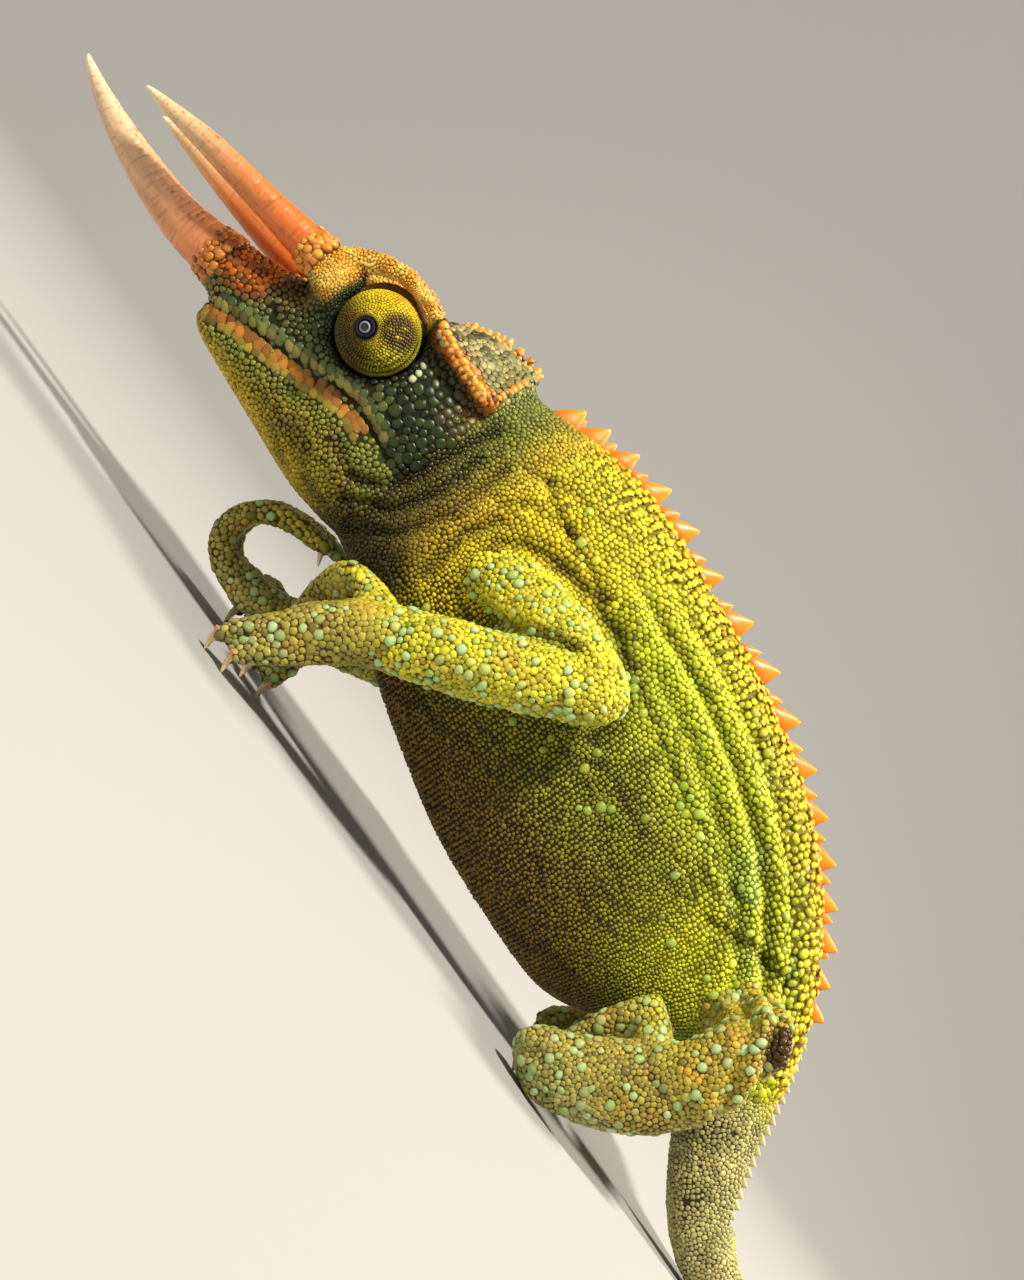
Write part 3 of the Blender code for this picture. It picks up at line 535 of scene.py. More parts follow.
# Each fold is a groove in the skin: half width, depth, and its path in the side view (x, z).
BODY_FOLDS = (
    (0.95, 1.25, ((-22.6, 45.0), (-23.8, 37.0), (-24.2, 31.8), (-25.3, 28.8), (-28.6, 26.4))),
    (0.85, 0.9, ((-21.0, 41.0), (-20.6, 34.0), (-22.4, 28.0), (-27.0, 24.0))),
    (0.85, 0.7, ((-17.8, 43.0), (-17.2, 35.0), (-19.2, 27.0), (-24.0, 22.0))),
    (1.0, 0.9, ((-11.0, 36.0), (-9.2, 39.2), (-4.0, 41.6), (2.0, 42.6), (8.0, 41.8),
                (12.6, 39.6), (15.6, 36.0), (16.0, 32.0))),
    (0.8, 0.5, ((-14.8, 40.0), (-12.6, 43.0), (-6.0, 45.0))),
    (0.55, 0.7, ((-13.5, 46.6), (-10.6, 45.4), (-2.0, 44.4), (3.0, 43.6))),
    (0.5, 0.65, ((5.6, 42.8), (12.0, 41.2), (18.0, 39.5))),
    (0.5, 0.55, ((20.4, 39.0), (25.0, 38.0), (29.5, 37.0))),
    (0.5, 0.45, ((32.0, 36.8), (38.0, 35.8), (43.0, 35.2))),
    (0.9, 0.4, ((-16.4, 45.0), (-10.6, 48.4), (-3.0, 50.0))),
    (0.85, 0.9, ((-13.0, 38.6), (-14.4, 34.0), (-13.0, 27.0))),
    (0.8, 0.7, ((43.0, 30.4), (49.0, 33.0), (56.0, 33.8))),
    (0.6, 0.3, ((20.0, 28.0), (28.0, 25.0), (36.0, 23.0))),
)
LEG_FOLDS = (
    (0.75, 1.1, ((-7.6, 28.6), (-2.1, 31.5), (1.7, 34.6), (5.4, 36.9))),
    (0.55, 0.4, ((-8.8, 21.6), (-7.6, 18.0), (-8.0, 15.0))),
    (0.6, 0.5, ((49.0, 15.6), (51.6, 13.8), (55.0, 13.6))),
)

# The large scales that stand in a row along the flank, in the side view (x, z).
TUBERCLE_ROW = ((-5.0, 45.0), (3.3, 43.3), (9.5, 41.0), (19.8, 39.0), (27.0, 37.4), (40.0, 34.0))

# Lines along the flank: each one's start (x), its drop below the back's outline, half width
# and depth.
FLANK_GROOVES = ((14.0, 4.6, 0.9, 0.6), (8.0, 8.4, 1.0, 1.0), (20.0, 12.6, 1.0, 0.6))


def fold_depth(points, part):
    """How deep each point lies in the folds: bell curves across each path, body or legs."""
    flat = points[:, [0, 2]]
    legs = np.isin(part, LEGS)
    depth = np.zeros(len(points))
    for mine, folds in ((~legs & (np.abs(points[:, 1]) > 3.0), BODY_FOLDS), (legs, LEG_FOLDS)):
        for width, deep, path in folds:
            distance = path_distance(flat[mine], path)
            depth[mine] += deep * np.exp(-((distance / width) ** 2))
    return depth


def on_trunk(points):
    """1 on the trunk's sides, fading at its two ends and at the middle plane."""
    x, y, _ = points.T
    return ramp(x, -14.0, -4.0) * ramp(x, 66.0, 58.0) * ramp(np.abs(y), 2.0, 4.0)


def flank_lines(points):
    """The flank's long grooves and the ridges under them, as bell curves of the depth."""
    x, _, z = points.T
    trunk = on_trunk(points)
    drop = below_back(x, z)
    groove = ridge = 0.0
    for start, below, width, depth in FLANK_GROOVES:
        near = depth * ramp(x, start - 12, start + 6) * trunk
        groove = groove + near * np.exp(-(((drop - below) / width) ** 2))
        ridge = ridge + near * np.exp(-(((drop - below - 2.0) / 1.1) ** 2))
    return groove, ridge


def sculpt(points, part):
    """How far each skin point moves out, the sum of soft ridges less the grooves."""
    x, _, z = points.T
    move = -fold_depth(points, part)
    lips = np.abs(z - mouth_height(x))
    front = ramp(x, -26.8, -27.6) * ramp(x, -59.6, -58.8)
    move -= 0.5 * np.exp(-((lips / 0.26) ** 2)) * front
    groove, ridge = flank_lines(points)
    move += 0.7 * ridge - groove
    ribs = np.sin((x + 0.3 * z) * 2 * math.pi / 7.0) * ramp(z, 14, 22) * ramp(z, 46, 36)
    move += 0.07 * ribs * on_trunk(points)
    nostril = np.linalg.norm(left_side(points) - NOSTRIL, axis=1)
    move -= 0.9 * np.exp(-((nostril / 0.62) ** 2))
    move += 0.25 * np.exp(-(((nostril - 1.25) / 0.5) ** 2))
    return move


# Half the width of the band along the middle plane that the solids' crest teeth lie in.
TEETH_BAND = 2.2


def levelled(points):
    """Presses the solids' crest teeth down: what stands over the back's outline near the
    middle plane moves back onto it, along the outline's own normal."""
    line, way = back_line()
    out = np.column_stack([-way[:, 1], way[:, 0]])
    over = (points[:, 0] > BACK_START) & (points[:, 0] < BACK_END)
    mine = np.flatnonzero((np.abs(points[:, 1]) < TEETH_BAND) & over)
    flat = points[mine][:, [0, 2]]
    nearest = np.argmin(((flat[:, None] - line[None]) ** 2).sum(axis=2), axis=1)
    above = np.einsum("ij,ij->i", flat - line[nearest], out[nearest])
    flat = flat - out[nearest] * np.clip(above + 0.1, 0, 4)[:, None]
    points = points.copy()
    points[mine, 0], points[mine, 2] = flat.T
    return points


def build_skin(solids):
    """The body's skin: the flesh solids made one, evened, folded and sunk by the scales."""
    voxels = {"mode": "VOXEL", "voxel_size": SKIN_VOXEL * MM}
    points, faces = largest_body(*modified(joined_flesh(), "REMESH", voxels))
    edges = mesh_edges(faces)
    points = evened(levelled(points), edges, 6, 0.5)
    normals = vertex_normals(points, faces)
    move = sculpt(points, solids.parts(points)) - SKIN_GROWTH - SKIN_DEPTH
    points = evened(points + normals * move[:, None], edges, 2, 0.4)
    points[:, 2] = np.maximum(points[:, 2], SKIN_OVER_FLOOR)
    return points, faces


class Solids:
    """The flesh solids as one search tree that says which of them is nearest to a point."""

    def __init__(self):
        shapes = []
        for number, name in enumerate(FLESH_NODES):
            points, faces = mesh_arrays(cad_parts[name].data)
            shapes.append((points / MM + MIDDLE, faces, np.full(len(faces), number)))
        points, faces, self.owner = merged(shapes)
        self.tree = BVHTree.FromPolygons(points.tolist(), faces.tolist())

    def parts(self, points):
        """Each point's nearest flesh solid, by its number in FLESH_NODES."""
        found = [self.tree.find_nearest(point)[2] for point in points.tolist()]
        return self.owner[np.array(found)]


class Skin:
    """The skin's arrays and the searches on it that the scales use."""

    def __init__(self):
        solids = Solids()
        self.parts = solids.parts
        self.points, self.faces = build_skin(solids)
        soft = vertex_normals(self.points, self.faces)
        edges = mesh_edges(self.faces)
        for _ in range(4):
            soft = unit(averaged(soft, edges, len(soft)) + soft)
        self.soft = soft
        self.tree = BVHTree.FromPolygons(self.points.tolist(), self.faces.tolist())

    def pressed(self, points):
        """The nearest place on the skin to each point, with the face it is on."""
        found = [self.tree.find_nearest(point) for point in points.tolist()]
        return np.array([hit[0] for hit in found]), np.array([hit[2] for hit in found])

    def normal_at(self, face):
        """The softened normal of each face, which lets a scale ignore small dents."""
        return unit(self.soft[self.faces[face]].sum(axis=1))


@functools.cache
def skin():
    """The skin, built once for all the operators that need it."""
    return Skin()


# Colours and sizes over the body


def numbered(*names):
    """The flesh nodes' numbers, as Solids.parts gives them."""
    return [number for number, name in enumerate(FLESH_NODES) if name in names]


HEAD, JAW, NECK, TORSO = (FLESH_NODES.index(n) for n in ("head", "lower_jaw", "neck", "torso"))
TAIL = numbered("tail_1", "tail_2", "tail_3", "tail_4", "tail_5")
LEGS = numbered(*LEG_NODES)
FEET = numbered("hand_left", "hand_right", "foot_left", "foot_right")


def trunk_tint(points):
    """Yellow-green back, yellow shoulder, olive flank and tan belly, run together softly. The
    darkening towards the belly is partly the body's own colour and partly painted shade, and
    the thin dark creases on the lower flank are painted shade.
    """
    x, _, z = points.T
    colours = bpy.context.scene.chameleon_colours
    back = np.array(colours.back)
    flank = np.array(colours.flank)
    belly = np.array(colours.belly)
    drop = (back_height(x) - z) / 48.0 + 0.05 * ripple(points, 14, 3)
    # Darker down to the belly: partly the body's own colour, partly painted shade on the
    # underside.
    tint = mix(back, flank, ramp(drop, 0.12, 0.52))
    tint = mix(tint, belly, ramp(drop, 0.52, 0.86))
    shoulder = ramp(x, 12, -6) * ramp(x, -24, -16) * ramp(z, 18, 27) * ramp(z, 52, 42)
    tint = paint(tint, "#D2BE14", 0.75 * shoulder)
    lime = ramp(x, -2, 12) * ramp(drop, 0.04, 0.2) * ramp(drop, 0.5, 0.3)
    tint = paint(tint, "#A6BE22", 0.5 * lime)
    below = below_back(x, z)
    rear = ramp(x, 30, 50) * ramp(below, 3, 8) * ramp(z, 12, 22)
    tint = paint(tint, "#A6AE22", 0.8 * rear)
    groin = np.hypot((x - 46) / 7, (z - 27) / 9)
    tint = paint(tint, "#CACB24", 0.65 * ramp(groin, 1.3, 0.4))
    mint = ramp(ripple(points, 9, 8), 0.1, 0.9) * ramp(x, 20, 46) * ramp(below, 2, 6)
    tint = paint(tint, "#86B062", 0.4 * mint * ramp(below, 24, 14))
    tint = paint(tint, "#CDA21A", 0.6 * ramp(below, 3.2, 0.8) * ramp(z, 20, 30))
    line = path_distance(points[:, [0, 2]], ((-11, 45.6), (4, 43.4), (30, 37)))
    flecks = ramp(ripple(points, 1.7, 14), 0.55, 1.1) * ramp(line, 2.6, 0.8)
    tint = paint(tint, "#4A2E10", 0.75 * flecks)
    spots = ramp(ripple(points, 5, 12), 0.55, 1.3) * ramp(drop, 0.25, 0.4)
    tint = paint(tint, "#5E5A1C", 0.5 * spots)
    # Painted shade: thin dark crease lines on the lower flank, with no relief under them.
    creases = ramp(np.abs(ripple(points * (0.45, 1, 1), 4.5, 17)), 0.34, 0.05)
    creases *= ramp(ripple(points, 9, 18), -0.3, 0.5) * ramp(drop, 0.2, 0.34)
    return paint(tint, "#2C200A", 0.62 * creases)


def neck_tint(points):
    """Brown to olive, yellower towards the shoulder and green under the casque. The brown low
    down and the darker throat are partly painted shade under the head.
    """
    x, _, z = points.T
    tint = between("#524912", "#6A6E22", ramp(z, 32, 47))
    tint = paint(tint, "#B89E1C", ramp(x, -21, -14) * ramp(z, 24, 30) * 0.8)
    # Painted shade: darker towards the throat, under the head.
    tint = paint(tint, "#3A3214", ramp(z, 30, 22) * 0.8)
    return paint(tint, "#56662C", ramp(x, -20, -24) * ramp(z, 40, 48) * 0.7)


def head_tint(points):
    """Dark green cheeks, orange snout, brow and ridges, and the casque's grey panels. The
    cheeks' darkness is partly painted shade, and there is painted shade in the crevice at the
    horns' roots and round the lower half of the eye socket.
    """
    x, _, z = points.T
    half = left_side(points)
    above = z - mouth_height(x)
    # The cheek plates' greens, darkened partly as painted shade.
    tint = between("#2E3E14", "#141E06", 0.5 + 0.5 * ripple(points, 2.6, 21))
    tint = paint(tint, "#5A642C", ramp(above, 5.0, 1.6) * ramp(x, -30, -34))
    tint = paint(tint, "#6E6030", 0.8 * ramp(x, -47.5, -50.5) * ramp(above, 3.4, 6.0))
    temple = ramp(z, 41.6, 44.0) * ramp(x, -39, -36)
    tint = paint(tint, "#382E14", 0.7 * temple)
    tint = paint(tint, "#B0641C", ramp(z, 44.6, 46.0) * ramp(x, -38, -35))
    panel = ramp(z, 46.8, 47.8) * ramp(x, -38.0, -36.5)
    blotch = between("#968B5E", "#4C4828", ramp(ripple(points, 2.6, 23), -0.2, 0.8))
    tint = mix(tint, paint(blotch, "#7C7E50", ramp(x, -34, -26)), panel)
    brow = ramp(x, -37.6, -38.8) * ramp(z - 0.12 * (x + 45), 43.0, 44.4)
    front = ramp(x, -47.8, -49.6) * ramp(z, 36.0, 38.0)
    glow = between("#CC9228", "#E2C058", ramp(ripple(points, 3, 27), -0.6, 0.7))
    tint = mix(tint, glow, np.maximum(brow, front))
    # Painted shade in the crevice between the nose's sheath and the brow horn's root.
    crevice = np.linalg.norm(half - (-52.8, -4.5, 35.6), axis=1)
    tint = paint(tint, "#3C2210", 0.85 * ramp(crevice, 3.0, 1.2))
    sheath = ramp(x, -53.0, -56.0) * ramp(above, 2.4, 4.2)
    tint = paint(tint, "#A4540E", sheath * 0.9)
    front_lip = ramp(x, -53.0, -56.0) * ramp(above, 3.0, 1.6)
    tint = paint(tint, "#7E6E30", 0.8 * front_lip)
    spots = ramp(ripple(points, 2.4, 25), 0.2, 1.0) * sheath
    tint = paint(tint, "#4E4420", 0.6 * spots)
    # Painted shade round the lower half of the eye socket, under the turret.
    rim = np.linalg.norm(half - EYE, axis=1)
    tint = paint(tint, "#20281A", 0.6 * ramp(rim, 7.2, 6.3) * ramp(z, 43, 41))
    return paint(tint, "#8A6A24", 0.2 * ramp(x, -29.5, -27.0) * ramp(z, 38, 42))


def jaw_tint(points):
    """Olive to yellow under the chin, with brown stripes towards the throat; the olives are
    darkened partly as painted shade under the head.
    """
    x, _, z = points.T
    below = mouth_height(x) - z
    # Olives darkened partly as painted shade under the head.
    tint = between("#6E7428", "#867A1C", ramp(below, 3.0, 7.0))
    tint = paint(tint, "#B8A018", ramp(z, 24, 21.2) * ramp(x, -26, -40))
    stripes = ramp(ripple(points * (0.25, 1, 1), 3.2, 31), 0.25, 0.9)
    tint = paint(tint, "#4E3A12", 0.6 * stripes * ramp(x, -50, -34))
    tint = paint(tint, "#9A7C26", ramp(x, -56.5, -58.6))
    return paint(tint, "#382C12", 0.8 * ramp(x, -30, -26) * ramp(z, 28, 23))


def knee_patch(points):
    """1 on the dark patch at the left knee, 0 away from it."""
    return ramp(np.linalg.norm(points - (58.9, -23.8, 29.0), axis=1), 4.3, 2.4)


def leg_tint(points, part):
    """Yellow-green limbs, tanner behind, with browner hands and feet."""
    z = points[:, 2]
    tint = between("#D0CA2C", "#B4B42C", 0.5 + 0.5 * ripple(points, 7, 41))
    hand = np.isin(part, FEET)
    tint = paint(tint, "#867A3C", 0.8 * hand * ramp(z, 24, 14))
    tint = paint(tint, "#989A58", 0.7 * hand * ramp(z, 9, 3))
    hind = np.isin(part, numbered("thigh_left", "thigh_right", "shank_left", "shank_right"))
    tint = paint(tint, "#9A8634", 0.75 * hind)
    orange = ramp(ripple(points, 4, 43), 0.5, 1.2)
    tint = paint(tint, "#C08A3A", 0.4 * orange)
    return paint(tint, "#2E1712", 0.95 * knee_patch(points))


def body_tint(points, part):
    """Linear colour of the scales at each point of the body, with painted shade in the folds
    and the flank's grooves, and painted light on the flank's ridges.
    """
    tint = trunk_tint(points)
    tail = np.isin(part, TAIL)
    grey = between("#B2A96C", "#98955A", 0.5 + 0.5 * ripple(points, 6, 51))
    bands = ramp(np.sin(points[:, 0] * 0.55 + points[:, 2] * 0.35), 0.1, 0.9)
    grey = paint(grey, "#7C7A50", 0.4 * bands)
    tint = mix(tint, grey, tail * ramp(points[:, 2], 26, 18))
    neck = (part == NECK) | ((part == TORSO) & (points[:, 0] < -8))
    tint = mix(tint, neck_tint(points), neck * ramp(points[:, 0], -10, -17))
    tint = mix(tint, head_tint(points), (part == HEAD) * 1.0)
    tint = mix(tint, jaw_tint(points), (part == JAW) * 1.0)
    tint = mix(tint, leg_tint(points, part), np.isin(part, LEGS) * 1.0)
    # Painted shade in the flank's grooves and painted light on the ridges under them.
    groove, ridge = flank_lines(points)
    shade = np.where(part == TORSO, 0.25 * ridge - 0.45 * groove, 0.0)
    tint = tint * (1 + shade)[:, None]
    # Painted shade in the folds of the body and legs.
    crease = np.clip(fold_depth(points, part), 0, 1)
    return mix(tint, tint * np.array([0.22, 0.2, 0.3]), 0.85 * crease)


def gap_tint(points, part):
    """Colour of the skin between the scales: a dark brown of the same cast, partly its own
    colour and partly painted shade in the gaps, and less dark on the back's top and the rear
    as painted light.
    """
    tint = body_tint(points, part)
    orange = ramp(tint[:, 0] - 2.2 * tint[:, 1], 0.02, 0.14) * (part == HEAD)
    x, z = points[:, 0], points[:, 2]
    # Painted light: the gaps less dark where the light falls, on the back's top and the rear.
    lit = np.maximum(ramp(z, 30, 44), ramp(x, 26, 46) * ramp(z, 14, 24))[:, None]
    dark = tint * (0.12 + 0.2 * lit) + linear("#241F0C") * 0.2
    dark = paint(dark, "#6E4A16", 0.6 * np.isin(part, LEGS))
    return mix(dark, tint * np.array([0.55, 0.42, 0.4]), 0.8 * orange)


# Half the pitch of the scales on each solid that has one size of them.
JAW_SCALE, TAIL_SCALE, HAND_SCALE, FOOT_SCALE, PANEL_SCALE = 0.39, 0.35, 0.5, 0.43, 0.56


def scale_radius(points, part):
    """Half the pitch of the scales at each point, in millimetres."""
    x, _, z = points.T
    sizes = bpy.context.scene.chameleon_sizes
    flank = sizes.flank_scale / MM / 2
    radius = np.full(len(points), flank)
    drop = below_back(x, z)
    radius *= 1 - 0.36 * ramp(drop, 14, 24) * ramp(x, -30, 0)
    radius *= 1 - 0.1 * ramp(x, 6, -12)
    radius *= 1 + 0.14 * ramp(drop, 10, 3)
    radius *= 1 - 0.24 * ramp(x, 30, 46) * ramp(drop, 5, 9)
    radius = np.where(part == NECK, flank * 0.84, radius)
    head = part == HEAD
    above = z - mouth_height(x)
    cheek = ramp(x, -39, -36.5) * ramp(z, 45, 42.5) * ramp(above, 0.2, 1.5)
    socket = np.linalg.norm(left_side(points) - EYE, axis=1)
    face = 0.5 + 0.17 * cheek + 0.08 * cheek * ripple(points, 2.4, 77)
    face = face - 0.2 * ramp(socket, 7.9, 6.6)
    brow = ramp(x, -36.6, -38.0) * ramp(z - 0.12 * (x + 45), 43.4, 45.0)
    front = ramp(x, -47.0, -49.0) * ramp(z, 35.0, 37.0)
    face = face - 0.23 * np.maximum(brow, front)
    face = np.where(ramp(z, 46.6, 47.6) * ramp(x, -38.0, -36.5) > 0.5, PANEL_SCALE, face)
    radius = np.where(head, face, radius)
    radius = np.where(part == JAW, JAW_SCALE, radius)
    radius = np.where(np.isin(part, LEGS), sizes.limb_scale / MM / 2, radius)
    feet = np.where(x < LEG_SPLIT, HAND_SCALE, FOOT_SCALE)
    radius = np.where(np.isin(part, FEET), feet, radius)
    radius = np.where(np.isin(part, TAIL), TAIL_SCALE, radius)
    return radius * np.where(part == TAIL[-1], 0.75, 1.0)


# Root and tip of each claw; the hind ones are the left foot's.
CLAWS = (
    ((-21.5, -17.5, 2.4), (-21.0, -17.3, 0.02)),
    ((-18.1, -17.9, 2.3), (-17.5, -17.7, 0.02)),
    ((-17.0, -5.2, 2.4), (-16.5, -5.0, 0.02)),
    ((-13.6, -5.2, 2.4), (-13.1, -5.0, 0.02)),
    ((-22.4, 8.6, 18.8), (-20.6, 8.4, 17.2)),
    ((-24.9, 5.2, 18.0), (-22.9, 5.0, 15.9)),
    ((-25.6, 16.6, 2.9), (-25.0, 16.4, 0.02)),
    ((-21.6, 17.6, 2.7), (-21.0, 17.4, 0.02)),
    ((-17.8, 18.0, 2.7), (-17.2, 17.8, 0.02)),
)
HIND_CLAWS = (
    ((41.9, -15.2, 1.8), (43.1, -13.6, 0.02)),
    ((43.4, -14.9, 1.8), (44.6, -13.3, 0.02)),
    ((45.2, -15.2, 1.8), (46.4, -13.6, 0.02)),
    ((44.0, -11.6, 2.6), (44.5, -11.4, 0.02)),
    ((47.0, -11.6, 2.6), (47.5, -11.4, 0.02)),
)
RIGHT_FOOT_BACK = 5.0


def claw_pairs():
    """Root and tip of every claw; the right hind foot's are the left one's moved back."""
    pairs = [np.array(pair) for pair in (*CLAWS, *HIND_CLAWS)]
    for pair in HIND_CLAWS:
        right = mirrored(pair)
        right[:, 0] += RIGHT_FOOT_BACK
        pairs.append(right)
    return pairs


def open_skin(points):
    """True where scales may grow: not in a socket, a nostril or the mouth, nor on a claw."""
    claws = np.full(len(points), np.inf)
    for root, tip in claw_pairs():
        claws = np.minimum(claws, path_distance(points, [root + 0.3 * (tip - root), tip]))
    half = left_side(points)
    socket = np.linalg.norm(half - EYE, axis=1) > EYE_RADIUS + 0.35
    nostril = np.linalg.norm(half - NOSTRIL, axis=1) > 0.75
    x, z = points[:, 0], points[:, 2]
    mouth = (np.abs(z - mouth_height(x)) > 0.26) | (x > -27.3) | (x < -58.6)
    return socket & nostril & mouth & (z > 0.1) & (claws > 0.8)


# The scales


# The trunk's length (x) whose scales stand in rows.
ROWS_START, ROWS_END = -12.5, 64.0
# How many more places are tried than there is room for, as some are ruled out.
SPARE_PLACES = 1.12


def scattered(body, draw, rows=False):
    """Seeded random places on the skin, as many to the area as the scale size there gives,
    and with rows none where the trunk's own rows go."""
    a, b, c = (body.points[body.faces[:, k]] for k in range(3))
    middle = (a + b + c) / 3
    part = body.parts(middle)
    area = np.linalg.norm(np.cross(b - a, c - a), axis=1) / 2
    radius = scale_radius(middle, part)
    wanted = area / (2 * math.sqrt(3) * radius**2) * open_skin(middle)
    in_rows = (part == TORSO) & (middle[:, 0] > ROWS_START) & (middle[:, 0] < ROWS_END)
    wanted = np.where(in_rows & rows, 0, wanted)
    count = int(SPARE_PLACES * wanted.sum())
    face = draw.choice(len(area), count, p=wanted / wanted.sum())
    u, v = draw.random((2, count))
    flip = u + v > 1
    u[flip], v[flip] = 1 - u[flip], 1 - v[flip]
    place = a[face] + u[:, None] * (b - a)[face] + v[:, None] * (c - a)[face]
    return place, face


# The trunk's centre line as x, 0, z and the tilt in degrees of the plane across it there.
TRUNK_LINE = ((-12.5, 0, 34.8, 0), (-8.0, 0, 34.5, 0), (3.0, 0, 32.5, 0), (15.0, 0, 31.5, 0),
              (28.0, 0, 30.0, 0), (40.0, 0, 28.0, 5), (50.0, 0, 26.0, 18),
              (57.3, 0, 24.3, 36), (62.6, 0, 20.4, 51))


def trunk_rows(body, draw):
    """Places in rows across the trunk: rays fan out from its centre line in tilted planes,
    and a plane's places stand a scale apart along the skin that its rays meet."""
    flank = bpy.context.scene.chameleon_sizes.flank_scale / MM
    turn = np.linspace(0, 2 * math.pi, 541)
    found = []
    for number, (*middle, tilt) in enumerate(along_path(TRUNK_LINE, flank * 0.84)):
        up = np.array([math.sin(math.radians(tilt)), 0.0, math.cos(math.radians(tilt))])
        rays = up * np.cos(turn)[:, None] + np.array([0.0, 1.0, 0.0]) * np.sin(turn)[:, None]
        hits = np.array([body.tree.ray_cast(middle, ray)[0] for ray in rays.tolist()])
        size = 2 * scale_radius(hits, np.full(len(hits), TORSO))
        steps = np.linalg.norm(np.diff(hits, axis=0), axis=1) / size[1:]
        walk = np.concatenate([[0], np.cumsum(steps)])
        count = int(walk[-1])
        stops = (np.arange(count) + 0.5 * (number % 2)) * walk[-1] / count
        found.append(np.column_stack([np.interp(stops, walk, column) for column in hits.T]))
    place = np.vstack(found)
    place, face = body.pressed(place + draw.normal(0, 0.05, place.shape))
    mine = body.parts(place) == TORSO
    place, face = place[mine], face[mine]
    kept = spaced(place, 1.5 * scale_radius(place, np.full(len(place), TORSO)))
    return place[kept], face[kept]


def search_tree(points):
    """A tree that finds the nearest of the points, by their numbers."""
    tree = KDTree(len(points))
    for number, point in enumerate(points.tolist()):
        tree.insert(point, number)
    tree.balance()
    return tree


def spaced(place, apart):
    """Numbers of the places left when each one kept rules out those closer than apart."""
    tree = search_tree(place)
    ruled_out = set()
    kept = []
    for number, point in enumerate(place.tolist()):
        if number not in ruled_out:
            kept.append(number)
            ruled_out.update(hit[1] for hit in tree.find_range(point, apart[number]))
    return np.array(kept, int)


def neighbours(points, count):
    """The numbers of the points that lie nearest to each point."""
    tree = search_tree(points)
    return np.array(
        [[hit[1] for hit in tree.find_n(point, count + 1)[1:]] for point in points.tolist()]
    )


class Scales(NamedTuple):
    """The body's scales, a row of each array to a scale. A tubercle is a large scale of the
    legs, a stud one of the flank."""

    place: np.ndarray
    face: np.ndarray
    part: np.ndarray
    radius: np.ndarray
    tubercle: np.ndarray
    stud: np.ndarray

    def where(self, kept):
        """Those that kept says."""
        return Scales(*(each[kept] for each in self))

    def joined(self, others):
        """These and the others."""
        return Scales(*(np.concatenate(pair) for pair in zip(self, others)))


def first_scales(body, draw):
    """The scales before they are evened out: in rows on the trunk and scattered elsewhere."""
    place, face = map(
        np.concatenate, zip(scattered(body, draw, rows=True), trunk_rows(body, draw))
    )
    part = body.parts(place)
    radius = scale_radius(place, part) * draw.normal(1.0, 0.15, len(place)).clip(0.66, 1.4)
    roll = draw.random(len(place))
    tubercle = np.isin(part, LEGS) & (roll < bpy.context.scene.chameleon_sizes.tubercle_share)
    radius[tubercle] = draw.uniform(0.54, 0.8, tubercle.sum())
    row = ramp(path_distance(place[:, [0, 2]], TUBERCLE_ROW), 1.1, 0.4)
    stud = (part == TORSO) & (place[:, 2] > 24) & (roll < 0.014 + 0.15 * row)
    radius[stud] = draw.uniform(0.52, 0.72, stud.sum())
    return Scales(place, face, part, radius, tubercle, stud)


# In each round, scales closer than REACH of their radii's sum push each other by PUSH of
# what is missing, and no scale moves further than MOST_STEP of its radius.
REACH, PUSH, MOST_STEP = 1.06, 0.32, 0.6


def relaxed(body, scales, rounds):
    """Pushes scales apart until they sit evenly, each kept on the skin."""
    place, face, radius = scales.place, scales.face, scales.radius
    for turn in range(rounds):
        if turn % 3 == 0:
            near = neighbours(place, 8)
        away = place[:, None] - place[near]
        distance = np.maximum(np.linalg.norm(away, axis=2), 1e-6)
        reach = (radius[:, None] + radius[near]) * REACH
        push = np.maximum(reach - distance, 0) / distance
        step = (away * push[:, :, None]).sum(axis=1) * PUSH
        length = np.linalg.norm(step, axis=1)
        step *= np.minimum(1, MOST_STEP * radius / np.maximum(length, 1e-9))[:, None]
        place, face = body.pressed(place + step)
    return scales._replace(place=place, face=face)


# A hole takes a new scale from this share of the two radii on, of this share of its size.
HOLE_SHARE, FILL_SIZE = 0.82, 0.94


def filled(body, scales, draw):
    """Adds scales in the holes: random skin points further from every scale than the sizes
    there need, taken one after another, each ruling out the candidates beside it."""
    place, face = scattered(body, draw)
    part = body.parts(place)
    size = scale_radius(place, part)
    tree = search_tree(scales.place)
    found = [tree.find(point)[1:] for point in place.tolist()]
    near = np.array([hit[0] for hit in found])
    gap = np.array([hit[1] for hit in found])
    chosen = np.flatnonzero(gap > HOLE_SHARE * (size + scales.radius[near]))
    taken = chosen[spaced(place[chosen], 1.7 * size[chosen])]
    plain = np.zeros(len(taken), bool)
    radius = scale_radius(place[taken], part[taken]) * FILL_SIZE
    return scales.joined((place[taken], face[taken], part[taken], radius, plain, plain))


def off_lips(scales, lips, apart):
    """The scales on open skin that lie further than apart from all those of the lips."""
    gap = np.array([lips.find(point)[2] for point in scales.place.tolist()])
    return scales.where((gap > apart) & open_skin(scales.place))


# How far the scales keep from the middles of the lips' scales, before and after evening.
LIP_GAP_FIRST, LIP_GAP = 0.75, 0.7


def settled_scales(body, lips, draw):
    """The body's scales, evened out and with no holes left between them."""
    scales = off_lips(first_scales(body, draw), lips, LIP_GAP_FIRST)
    rounds = 9
    scales = relaxed(body, scales, rounds)
    for further in (rounds, 0, 0):
        scales = relaxed(body, filled(body, scales, draw), further)
    return off_lips(scales, lips, LIP_GAP)


